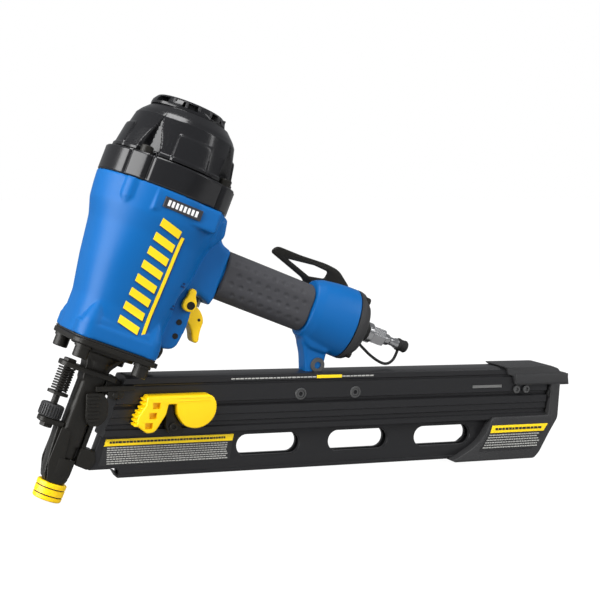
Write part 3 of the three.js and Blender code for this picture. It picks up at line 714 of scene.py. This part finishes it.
def springs():
    coil("safety_spring_coil", ROD_X, 6.3, 0.75, 9.0, 85.4, 104.8, "safety_spring",
         BLACK_STEEL)
    coil("head_valve_spring_coil", 0, 31.5, 1.2, 4.0, 279.2, 300.4,
         "head_valve_spring", STEEL)


def depth_wheel():
    """The wheel that sets the nail's depth, with a ridged rim."""
    def knurled(turn, z):
        edge = min(z - WHEEL_Z[0], WHEEL_Z[1] - z)
        ridge = 0.45 * ease(edge / 1.5) * math.copysign(1, math.sin(turn * 26))
        return 9.2 + ridge - 0.8 * (1 - ease(edge / 0.8))

    heights = [WHEEL_Z[0], 63.4, 63.9, 65, 72, 73.1, 73.6, WHEEL_Z[1]]
    wheel = radial(heights, knurled, 312, ROD_X)
    piece("depth_wheel_knurled", wheel, TOOL, PLASTIC, "depth_wheel_body", ["depth_wheel"], 50)


def contact():
    """The moving nose contact: the yoke round the nose, its arm and side wings, and the spring seat."""
    yoke = lathe_z([(6, 3.4), (9, 3.4), (9, 14.9), (10.2, 17), (12.4, 24), (12.6, 36), (10.4, 36), (10, 24),
                    (6, 18)], 48)
    arm = side_plate([[(-14.6, 62.6, 1), (-10.4, 62.6, 1), (-10.4, 26, 0), (-8, 15, 0), (-11.2, 20, 2),
                       (-13.2, 40, 4)]], -7, 7, 1.2)
    wings = [side_plate([[(-12, 60, 2), (-3.5, 58, 2), (-1.5, 40, 3), (5.5, 20, 2), (3, 15, 2), (-8, 15, 2),
                          (-12.6, 30, 3)]], y0, y1, 0.6) for y0, y1 in ((-11.4, -9.7), (9.7, 11.4))]
    seat = flat_plate([[(-30, -8, 5), (-10.4, -8, 0), (-10.4, 8, 0), (-30, 8, 5)]], 58.4, 62.6, 0.8)
    open_yoke = carve(yoke, block(9.2, 20, -20, 20, 19, 40, 0))
    whole = joined(open_yoke, arm, *wings, seat)
    piece("contact_arm_shell", whole, TOOL, BLACK_STEEL, "safety_arm", ["contact_arm"], 40)
    nut = lathe_z([(0, 54.8), (4.6, 54.8), (5.4, 55.4), (5.4, 58.2), (0, 58.2)], 6, ROD_X, 0)
    piece("arm_nut", nut, TOOL, BLACK_STEEL, "safety_arm")


def pad():
    """The soft pad on the tip, with two grooves round it, each darkened by a dark ring in painted shade."""
    ribbed = lathe_z([(4.6, 0), (10.9, 0), (11.8, 0.9), (11.95, 3.6), (11.0, 3.8), (11.0, 4.6), (12, 4.8),
                      (12.1, 9.6), (11.1, 9.8), (11.1, 10.6), (12.1, 10.8), (12.2, 14), (11.6, 14.6),
                      (9.3, 14.6), (9.3, 3), (4.6, 3)], 72)
    piece("pad_shell", ribbed, TOOL, YELLOW, "safety_arm", ["no_mar_pad"], 30)
    # Each groove gets a dark ring: painted shade in the recess.
    for i, z in enumerate((4.2, 10.2)):
        groove_shade_ring = lathe_z([(10.6, z - 0.42), (11.35, z - 0.42), (11.35, z + 0.42), (10.6, z + 0.42)], 72)
        piece(f"pad_groove_painted_shade_{i + 1}", groove_shade_ring, TOOL, SEAL, "safety_arm")


springs()
depth_wheel()
contact()
pad()


# ---- trigger group
def trigger():
    lever = side_plate([[(44.6, 187.5, 3), (49.4, 190.8, 3), (56.6, 188.5, 3), (65.4, 184, 3),
                         (71.1, 177.6, 4), (70.9, 168, 4), (72.9, 159.6, 2), (70.6, 157.2, 1.5),
                         (67.4, 158.6, 1.5), (63.9, 165.6, 3), (56.9, 172.4, 3), (46.6, 178, 3)]], -7, 7, 1.6)
    piece("trigger_lever", lever, TOOL, YELLOW, "trigger_body", ["trigger"])
    # A dark disc on the lever where its hole is: painted shade, and the hole itself is not cut.
    dot = lathe_y([(0, -7.15), (1.3, -7.15), (1.3, -6), (0, -6)], 66.3, 176.6, 24)
    piece("trigger_hole_painted_shade", dot, TOOL, SEAL, "trigger_body")


def selector():
    knob = side_plate([[(43.9, 197, 2), (45.9, 198.8, 2), (50.3, 198.2, 2), (51, 192.8, 2), (54.4, 188.5, 3),
                        (54, 181, 3), (48, 179.2, 3), (42.6, 181.2, 3), (42.2, 187.2, 3), (44, 191, 2)]],
                      -22.3, -18, 1.2)
    piece("selector_knob", knob, TOOL, YELLOW, "selector", ["mode_selector"])
    pin = lathe_y([(0, -21.2), (1.5, -21.2), (1.6, -22.9), (2.7, -23.1), (3.4, -22.7), (3.5, -17), (0, -17)],
                  *TRIGGER_PIN)
    piece("trigger_pin_head", pin, TOOL, BLACK_STEEL)


def mode_symbols_painted_shade():
    """Two small raised symbols beside the selector, each a long bar under a short one, drawn as darker bars
    in painted shade.
    """
    shade_bars = []
    for z in (196.0, 176.5):
        for x0, x1, up in ((30, 35, 0), (31, 34, 2.6)):
            low = z + up
            # Each bar is darker than the housing: painted shade for the raised relief.
            shade_bars.append(barrel_patch([(x0, low), (x1, low), (x1, low + 1.3), (x0, low + 1.3)], 0.3))
    piece("mode_symbols_painted_shade", joined(*shade_bars), TOOL, SHADOW_LINE)


trigger()
selector()
mode_symbols_painted_shade()


# ---- grip, end cap, plug and tether
def grip():
    """The rubber sleeve, with four staggered rows of oval dimples on each side."""
    outline = rounded(rectangle(17.5, 20.8, 14, 0, HANDLE_Z - 0.6), 22)
    dense = []
    for i, p in enumerate(outline):
        q = outline[(i + 1) % len(outline)]
        pieces = max(1, round((q - p).length / 0.75))
        dense.extend(p.lerp(q, k / pieces) for k in range(pieces))
    centre = Vector((0, HANDLE_Z - 0.6))
    dimples = [(77.5 + 9.2 * i + (4.6 if row % 2 else 0), z) for row, z in enumerate((230.5, 222, 213.5, 205))
               for i in range(8)]
    rings = []
    for x in steps(GRIP_START, GRIP_END, 140):
        edge = min(x - GRIP_START, GRIP_END - x)
        ring = []
        for p in dense:
            depth = 0.9 * (1 - ease(edge / 1.2))
            for dx, dz in dimples:
                gap = math.hypot((x - dx) / 1.35, p.y - dz)
                if gap < 2.4:
                    depth += 0.85 * (1 - ease((gap - 0.8) / 1.5))
            out = (p - centre).normalized()
            ring.append((x, p.x - out.x * depth, p.y - out.y * depth))
        rings.append(ring)
    piece("grip_skin", loft(rings), TOOL, RUBBER, "tool", ["grip_sleeve"], 60)


def end_cap():
    """The dark dome over the handle's end, with three screw wells."""
    dome = lathe_x([(0, 216), (9, 216), (12, 215.8), (16, 215), (24, 211.5), (29, 207), (30.6, 204.5),
                    (31.2, 202), (31.2, 199), (0, 199)], HANDLE_Z, 96, BELL_FLATNESS)
    wells = []
    for angle in (0, 120, 240):
        turn = math.radians(angle)
        z = HANDLE_Z + 27.6 * math.sin(turn)
        y = 27.6 * BELL_FLATNESS * math.cos(turn)
        wells.append(lathe_x([(0, 203.6), (4.2, 203.6), (4.2, 222), (0, 222)], z, 32, 1.0, y))
    piece("end_cap_shell", carve(dome, *wells), TOOL, PLASTIC, "tool", ["end_cap"], 40)


def plug():
    """The turned air plug, and the dust cap over its end."""
    ring = lathe_x([(0, 219.4), (8.2, 219.4), (9, 220.2), (9, 224.6), (8.2, 225.4), (0, 225.4)], HANDLE_Z)
    hexagon = lathe_x([(0, 225), (7.2, 225), (8.25, 226), (8.25, 238), (7.2, 239), (0, 239)], HANDLE_Z, 6)
    nipple = lathe_x([(0, 238), (5, 238), (5, 243.6), (4.6, 244.5), (3.7, 246), (3.7, 250.5), (4.5, 252),
                      (4.5, 259), (3.6, 261), (0, 261)], HANDLE_Z)
    thread = lathe_x([(0, 204), (6, 204), (6, 220), (0, 220)], HANDLE_Z)
    piece("air_plug_turned", joined(thread, ring, hexagon, nipple), TOOL, CHROME, "tool", ["air_plug"], 30)
    shell = lathe_x([(4.6, 254.7), (5.4, 254.7), (5.6, 255.2), (5.6, 256.6), (5.2, 257), (5.2, 261.6),
                     (5.5, 262.2), (5.5, 263.2), (4.8, 264.2), (0, 264.2), (0, 262), (4.6, 262)], HANDLE_Z)
    piece("dust_cap_shell", shell, TOOL, SEAL, "plug_cap", ["dust_cap"])


ROUTE = [(217.7, 210.6), (217.9, 208.6), (219, 206.7), (221.6, 205.2), (226, 203.4), (231, 201.4),
         (236.5, 199.7), (242, 198.5), (247, 198), (251, 198.6), (254.4, 200.8), (256.6, 204.4),
         (257.4, 208.6), (257.6, 213.9)]
STRAP_RADIUS = 1.3


def smooth_route(points, steps_each=6):
    """Catmull-Rom curve through points (x, z)."""
    ends = [points[0], *points, points[-1]]
    route = []
    for i in range(1, len(ends) - 2):
        p0, p1, p2, p3 = (Vector(ends[i + k]) for k in (-1, 0, 1, 2))
        for k in range(steps_each):
            t = k / steps_each
            route.append(0.5 * ((2 * p1) + (p2 - p0) * t + (2 * p0 - 5 * p1 + 4 * p2 - p3) * t * t
                                + (3 * p1 - p0 - 3 * p2 + p3) * t ** 3))
    route.append(Vector(ends[-1]))
    return route


def tether():
    """The rubber strap from its ring behind the end cap, under the plug, to the dust cap."""
    route = smooth_route(ROUTE)
    rings = []
    for i, p in enumerate(route):
        along = (route[min(i + 1, len(route) - 1)] - route[max(i - 1, 0)]).normalized()
        ring = []
        for a in (2 * math.pi * k / 16 for k in range(16)):
            across = STRAP_RADIUS * math.cos(a)
            ring.append((p.x - along.y * across, STRAP_RADIUS * math.sin(a), p.y + along.x * across))
        rings.append(ring)
    strap = piece("dust_cap_strap", loft(rings), TOOL, SEAL, "tool", ["dust_cap_tether"], 60)
    let_go(strap)
    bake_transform(strap)
    ring = lathe_x([(6.3, 216.4), (9, 216.4), (9, 219), (6.3, 219)], HANDLE_Z)
    piece("dust_cap_ring", ring, TOOL, SEAL)


grip()
end_cap()
plug()
tether()


# ---- belt hook
def hook():
    blank = [(123.7, 255, 3), (127.2, 262, 4), (152.3, 262.2, 4), (178.3, 264, 6), (192.3, 262.8, 5),
             (208, 252.2, 3), (200.5, 234, 5), (196, 214, 9), (172, 211, 9), (170, 234.5, 5), (161, 244, 3),
             (145.2, 248.7, 3)]
    window = [(141.2, 254.8, 1), (168.3, 258.5, 1), (183.2, 257.9, 2), (182.2, 250.9, 2), (166.2, 247.6, 1)]
    plate = side_plate([blank, window], 34, 38, 0.9)
    piece("belt_hook_plate", plate, TOOL, BLACK_STEEL, "hook", ["belt_hook"])


hook()


# ---- magazine
RAIL_SECTION = [(-9, 99.6), (9, 99.6), (12.6, 98.8), (13.2, 97.6), (13.2, 93.4), (12.2, 92.6), (12.0, 91.6),
                (12.8, 90.8), (12.8, 77.2), (11.6, 76.6), (10.6, 73.4), (13.0, 72.6), (13.0, 66.2),
                (12.0, 65.6), (12.0, 60.4), (10.4, 59.6), (10.4, 56.4), (13.0, 55.6), (13.0, 51.4),
                (12, 50.3)]


def text_rows(x0, x1, z_top, rows, pitch, height, y, seed, skew=0.0, width=0.9):
    """Rows of plain dashes of uneven length, where the real surface carries small print."""
    verts = []
    faces = []
    for row in range(rows):
        z = z_top - row * pitch
        x = x0 + skew * row
        step = 0
        while x < x1 - 3:
            chance = noise.noise(Vector((seed + row * 3.1, step * 1.37, 0.5))) * 0.5 + 0.5
            end = min(x + width + width * 3.2 * chance, x1)
            first = len(verts)
            verts.extend((u, v, w) for v in (y - 0.12, y + 0.1) for u, w in
                         ((x, z - height), (end, z - height), (end, z), (x, z)))
            faces.extend(tuple(first + k for k in face) for face in
                         ((0, 1, 2, 3), (7, 6, 5, 4), (0, 4, 5, 1), (1, 5, 6, 2), (2, 6, 7, 3), (3, 7, 4, 0)))
            x = end + width * 0.55
            step += 1
    return solid(verts, faces)


def rail():
    """The extruded rail, with its front end cut on a lean, a slot and two screw holes."""
    half = RAIL_SECTION[1:]
    section = [*half, *[(-y, z) for y, z in reversed(half)]]
    front = [(23.7 + z * FRONT_LEAN, y, z) for y, z in section]
    body = loft([front] + [[(x, y, z) for y, z in section] for x in (62, 120, 240, 360, 470)])
    slot = block(387.3, 420, -16, -11.5, 80.6, 84, 0)
    holes = [lathe_y([(0, -16), (4.1, -16), (4.1, -11.6), (0, -11.6)], x, 81) for x in SIDE_SCREW_X]
    piece("rail_extrusion", carve(body, slot, *holes), MAGAZINE, ANODISED, "tool", ["magazine_rail"], 25)
    mark = block(229, 253, -13.45, -12.9, 94.3, 97.0, 0.1)
    piece("rail_mark", mark, MAGAZINE, DECAL)
    piece("rail_print", text_rows(150, 286, 96.1, 1, 3, 1.1, -13.2, 5.0, 0.0, 1.2), MAGAZINE, PRINT)


def blade():
    """The lower plate with its three windows, the walls beside its channel, and its bottom lip."""
    outline = [(24 + 22.5 * FRONT_LEAN, 22.5, 1), (52, 22.5, 2), (56.5, 15, 2), (440, 15, 1), (440, 50, 0),
               (24 + 50 * FRONT_LEAN, 50, 0)]
    slots = []
    for i in range(3):
        x0 = 160 + 86.4 * i
        slots.append([(x0, 28, 9), (x0 + 59, 28, 9), (x0 + 59, 46.3, 9), (x0, 46.3, 9)])
    channel = block(58, 436, -2.7, 2.7, 20.4, 60, 0)
    plate = carve(side_plate([outline, *slots], -BLADE_Y, BLADE_Y, 0.8), channel)
    piece("blade_plate", plate, MAGAZINE, ANODISED, "tool", ["magazine_blade"])
    walls = [bar([(y0, 15.2, 0.3), (y1, 15.2, 0.3), (y1, 25, 0.3), (y0, 25, 0.3)], 57.5, 439)
             for y0, y1 in ((-6.4, -2.9), (2.9, 6.4))]
    piece("blade_walls", joined(*walls), MAGAZINE, ANODISED)
    lip = bar([(-7.0, 15, 0.6), (7.0, 15, 0.6), (7.0, 18.2, 0.6), (-7.0, 18.2, 0.6)], 56.5, 392)
    piece("blade_lip", lip, MAGAZINE, ANODISED)


def rear_cap():
    shape = [(417, 101.3, 2), (470, 101.3, 4), (480, 98, 3), (482, 95, 1), (491, 93.5, 3), (493, 82.5, 1),
             (483, 82.5, 0), (482.6, 51, 3), (473.5, 36, 3), (464, 18.5, 3), (458.5, 13.2, 2), (372, 13.2, 3),
             (369, 15.4, 1), (376, 17.5, 2), (393.5, 27.5, 8), (403, 37, 8), (410, 53.5, 3), (472, 53.8, 2),
             (473, 83, 2), (433, 83, 1), (430, 91.5, 1), (424, 93, 1), (422.5, 98, 1)]
    piece("rear_cap_shell", side_plate([shape], -16, 16, 1.0), MAGAZINE, PLASTIC, "tool", ["rear_cap"])
    ridge = block(432, 491, -16.8, -14, 84.2, 93.2, 0.9)
    piece("rear_cap_ridge", ridge, MAGAZINE, PLASTIC)
    back = lathe_y([(0, -14.6), (4.5, -14.6), (5, -14.2), (5, -12), (0, -12)], 475.5, 74, 40)
    piece("rear_cap_plug", back, MAGAZINE, SEAL)


def label_sheet(prefix, y, proud, panel, band):
    """A black label with a yellow band along its top."""
    sheet = side_plate([panel], y - proud, y + 0.2, 0.05)
    piece(f"{prefix}_panel", sheet, MAGAZINE, LABEL)
    strip = side_plate([band], y - 0.5, y, 0.05)
    piece(f"{prefix}_band", strip, MAGAZINE, DECAL)


def labels():
    """The long label on the magazine's blade and the small one on its rear cap."""
    y = -BLADE_Y
    label_sheet("warning", y, 0.35, [(40, 25.5, 0), (154, 25.5, 0), (157, 47.2, 0), (46, 47.2, 0)],
                [(44.5, 41.8, 0), (155.8, 41.8, 0), (157, 47.4, 0), (46, 47.4, 0)])
    small = text_rows(47, 153, 40.6, 8, 1.85, 0.85, y - 0.42, 2.0)
    piece("warning_print", small, MAGAZINE, PRINT)
    heading = text_rows(49, 152, 45.6, 1, 3, 1.7, y - 0.55, 7.0)
    piece("warning_heading", heading, MAGAZINE, LABEL)
    y = -16.0
    label_sheet("rear", y, 0.3, [(397, 22.5, 0), (455, 22.5, 0), (471, 45.5, 0), (409.5, 45.5, 0)],
                [(407.8, 39.2, 0), (467, 39.2, 0), (471.2, 46, 0), (409.8, 46, 0)])
    heading = text_rows(413, 465, 43.8, 1, 3, 2.2, y - 0.55, 4.0, 0.0, 1.3)
    piece("rear_heading", heading, MAGAZINE, LABEL)
    small = text_rows(407, 463, 37.6, 6, 2.3, 1.0, y - 0.35, 9.0, -1.3)
    piece("rear_print", small, MAGAZINE, PRINT)


def pusher():
    """The sliding handle, with three pockets in its face, and ribs for the thumb."""
    shape = [(73.5, 85.4, 2), (129, 85.4, 4), (133, 78, 3), (132.3, 68, 5), (125, 60, 5), (116, 57.3, 4),
             (106, 59.5, 4), (99.5, 69, 3), (98.3, 78.2, 0.5), (91.4, 78.3, 0.5), (89.5, 70, 2),
             (80.5, 55.8, 3), (73.8, 55, 2), (65.2, 62, 2), (66.2, 69, 2), (72.5, 78, 2)]
    shell = side_plate([shape], -27, -14, 1.2)
    pockets = []
    for x, z in ((81.2, 77.5), (78.4, 69.3), (75.2, 61.2)):
        pockets.append(block(x - 3.2, x + 3.2, -30, -22, z - 2.6, z + 2.6, 0))
    piece("pusher_shell", carve(shell, *pockets), MAGAZINE, YELLOW, "pusher", ["pusher_handle"])
    ribs = []
    for i in range(7):
        z = 82.4 - i * 3.4
        x = between(z, [(60, 65.6), (62, 65.2), (69, 66.2), (78, 72.0), (84, 73.0)])
        ribs.append(side_plate([[(x - 1.8, z - 1.1, 0.6), (x + 3, z - 1.4, 0.6), (x + 3, z + 1.4, 0.6),
                                 (x - 1.8, z + 0.6, 0.6)]], -26, -15, 0.4))
    piece("pusher_thumb_ribs", joined(*ribs), MAGAZINE, YELLOW, "pusher")
    ridges = [block(100, 127, -27.3, -26.5, z, z + 0.5, 0.1) for z in (80.5, 83.1)]
    piece("pusher_ridges", joined(*ridges), MAGAZINE, YELLOW, "pusher")


def lock_lever():
    plate = side_plate([[(92.2, 77.3, 1), (97.5, 77.3, 1), (98.6, 68, 3), (104, 59, 3), (108.5, 54.8, 2),
                         (102, 50.6, 2), (94, 53.6, 2), (91, 60, 2)]], -21, -14.2, 0.8)
    bolt = lathe_y([(0, -22), (1.6, -22), (1.7, -23.3), (3, -23.5), (3.6, -23), (3.6, -20), (0, -20)],
                   97.7, 58.8)
    piece("pusher_lever", joined(plate, bolt), MAGAZINE, BLACK_STEEL, "pusher", ["pusher_bracket"])


def screw_y(name, place, x, z, y, radius, node, socket=1.8):
    """A screw head with a round socket, facing the near side."""
    head = lathe_y([(0, y + 1.4), (socket, y + 1.4), (socket + 0.1, y + 0.1), (radius - 0.5, y),
                    (radius, y + 0.4), (radius, y + 2), (0, y + 2)], x, z)
    piece(name, head, place, SCREW, "tool", [node])


def screw_ring(name, x, z, y):
    ring = lathe_y([(3.7, y - 0.5), (4.6, y - 0.5), (5.2, y), (5.2, y + 1), (3.7, y + 1)], x, z)
    piece(name, ring, MAGAZINE, SCREW)


def screws():
    for i, x in enumerate(SIDE_SCREW_X):
        screw_y(f"side_screw_head_{i + 1}", MAGAZINE, x, 81, -12.9, 3.6, f"side_screw_{i + 1}")
        screw_ring(f"side_screw_ring_{i + 1}", x, 81, -12.9)
    for i, x in enumerate((435, 445.6)):
        screw_y(f"rear_screw_head_{i + 1}", MAGAZINE, x, 79, -15.3, 3.6, f"rear_screw_{i + 1}")
    screw_y("foot_bolt_head", TOOL, 183, 176, -9.3, 6.6, "foot_bolt", 3.0)


def front_block():
    """The magazine's front end, against the nose, and the stepped cheek on its near side."""
    lower = side_plate([[(10.1, 33, 1), (22, 32, 2), (26, 40, 2), (22, 48, 1), (10.1, 48, 1)]], -8, 8, 0.8)
    spine = side_plate([[(10.4, 46, 0), (14, 46, 0), (14, 104, 0), (10.4, 104, 0)]], -7, 7, 0.6)
    upper = side_plate([[(10.1, 96, 1), (22, 92, 2), (24, 106, 2), (16, 111, 2), (10.1, 105, 1)]],
                       -8.5, 8.5, 0.8)
    piece("front_block", joined(lower, spine, upper), TOOL, BLACK_STEEL, "tool", ["front_bracket"])
    arm = block(34, 66, -15.6, -12.6, 88.2, 92.4, 0.5)
    web = side_plate([[(26.5, 87, 2), (40, 87, 2), (45, 80, 3), (44, 66, 3), (38, 60, 3), (30, 60, 2),
                       (26.5, 66, 2)]], -14.6, -12.6, 0.5)
    steps_up = [block(27, 37, -16, -14, z, z + 2.2, 0.4) for z in (64, 70, 76, 82)]
    pin = lathe_y([(0, -16.4), (2.2, -16.4), (2.6, -16), (2.6, -14), (0, -14)], 50, 85)
    ear = side_plate([[(44, 82, 2), (56, 82, 2), (58, 88.4, 2), (44, 88.4, 2)]], -15, -12.6, 0.5)
    piece("front_cheek", joined(arm, web, *steps_up, pin, ear), MAGAZINE, BLACK_STEEL)


rail()
blade()
rear_cap()
labels()
pusher()
lock_lever()
screws()
front_block()

# ---- finishes for the CAD nodes that stay
CAD_FINISH = [
    (BLACK_STEEL, ["deflector_screw", "guide_rod", "spring_washer", "safety_link", "trigger_pin",
                   "cheek_pin_1", "cheek_pin_2", "end_cap_screw_1", "end_cap_screw_2", "end_cap_screw_3",
                   "hook_screw"]),
    (STEEL, ["cylinder_sleeve", "piston", "driver_blade", "valve_stem", "follower", "nail_stop"]),
    (PLASTIC, ["head_valve", "valve_bushing"]),
    (SEAL, ["bumper", "head_gasket"]),
]
EDGE_ROUNDING = 0.0003
for name, finish in [(name, finish) for finish, names in CAD_FINISH for name in names]:
    node = frame["nodes"][name]
    node.data.materials.clear()
    node.data.materials.append(finish)
    soften = node.modifiers.new("edge", "BEVEL")
    soften.width = EDGE_ROUNDING
    soften.segments = 2
    soften.limit_method = "ANGLE"


# ---- camera, light and background
AIM = Vector((-0.0210, 0.0, 0.1562))
AZIMUTH = math.radians(-24.6)
ELEVATION = math.radians(7.0)
ROLL = math.radians(0.9)  # the product stands very slightly turned in the view
DISTANCE = 1.0853
LENS = 75.72  # on a 36 mm sensor


def camera():
    """A long lens, at the low side angle from which a tool like this is shown."""
    data = bpy.data.cameras.new("camera")
    data.lens = LENS
    data.sensor_width = 36.0
    obj = placed("camera", data)
    level = math.cos(ELEVATION)
    back = Vector((math.sin(AZIMUTH) * level, -math.cos(AZIMUTH) * level, math.sin(ELEVATION)))
    right = Vector((math.cos(AZIMUTH), math.sin(AZIMUTH), 0))
    roll = Matrix.Rotation(-ROLL, 3, "Y")
    back, right = roll @ back, roll @ right
    up = back.cross(right)
    axes = Matrix((right, up, back)).transposed().to_4x4()
    obj.matrix_world = Matrix.Translation(AIM + back * DISTANCE) @ axes
    bpy.context.scene.camera = obj


def area_light(name, place, size, power, size_y=None, mirrored=True):
    """A soft light facing the tool; mirrored says whether glossy surfaces show it."""
    data = bpy.data.lights.new(name, "AREA")
    data.energy = power
    data.size = size
    if size_y:
        data.shape = "RECTANGLE"
        data.size_y = size_y
    obj = placed(name, data)
    obj.visible_glossy = mirrored
    obj.location = place
    obj.rotation_euler = (AIM - Vector(place)).to_track_quat("-Z", "Y").to_euler()


def empty_tree(owner):
    """The cleared nodes of a material or world, and what links them."""
    owner.use_nodes = True
    owner.node_tree.nodes.clear()
    return owner.node_tree.nodes, owner.node_tree.links.new


def split_rays(nodes, link, output, seen, unseen):
    """Shows one shader to the camera and another to every other ray."""
    mix = nodes.new("ShaderNodeMixShader")
    rays = nodes.new("ShaderNodeLightPath")
    link(rays.outputs["Is Camera Ray"], mix.inputs["Fac"])
    link(unseen, mix.inputs[1])
    link(seen, mix.inputs[2])
    link(mix.outputs["Shader"], output.inputs["Surface"])


def lighting():
    """Soft lights all round, and a world that is white to the camera and dim to everything else."""
    bpy.context.scene.view_settings.view_transform = "Standard"
    area_light("key", (-1.0, -0.9, 1.2), 0.8, 17, 0.5, False)
    area_light("fill", (0.3, -1.6, 0.5), 1.0, 8, None, False)
    area_light("side", (1.3, -0.7, 0.6), 0.5, 14, 1.2, False)
    area_light("strip", (1.1, -0.9, 0.7), 0.12, 1.6, 0.9)
    area_light("front_left", (-1.4, -0.1, 0.4), 1.3, 34, 1.6)
    area_light("top", (-0.2, -0.2, 1.5), 0.7, 10)
    area_light("back", (0.5, 1.5, 0.7), 1.0, 9, None, False)
    world = bpy.data.worlds.new("white")
    bpy.context.scene.world = world
    nodes, link = empty_tree(world)
    output = nodes.new("ShaderNodeOutputWorld")
    seen = nodes.new("ShaderNodeBackground")
    seen.inputs["Color"].default_value = (1, 1, 1, 1)
    seen.inputs["Strength"].default_value = 1.0
    light = nodes.new("ShaderNodeBackground")
    light.inputs["Color"].default_value = (0.95, 0.97, 1, 1)
    light.inputs["Strength"].default_value = 0.24
    split_rays(nodes, link, output, seen.outputs["Background"], light.outputs["Background"])


def floor():
    """A pale floor: near white to the camera with a faint shadow, and plain grey to everything else."""
    mesh = bpy.data.meshes.new("floor")
    reach = 6.0
    mesh.from_pydata([(sx * reach, sy * reach, 0) for sx, sy in BOLT_ORDER], [], [(0, 1, 2, 3)])
    obj = placed("floor", mesh)
    obj.location.z = FLOOR_Z - 0.0004
    mat = bpy.data.materials.new("floor_pale")
    nodes, link = empty_tree(mat)
    output = nodes.new("ShaderNodeOutputMaterial")
    seen = nodes.new("ShaderNodeAddShader")
    glow = nodes.new("ShaderNodeEmission")
    glow.inputs["Strength"].default_value = 0.985
    shade = nodes.new("ShaderNodeBsdfDiffuse")
    shade.inputs["Color"].default_value = (0.08, 0.08, 0.08, 1)
    plain = nodes.new("ShaderNodeBsdfDiffuse")
    plain.inputs["Color"].default_value = (0.25, 0.25, 0.25, 1)
    link(glow.outputs["Emission"], seen.inputs[0])
    link(shade.outputs["BSDF"], seen.inputs[1])
    split_rays(nodes, link, output, seen.outputs["Shader"], plain.outputs["BSDF"])
    mesh.materials.append(mat)


camera()
lighting()
floor()
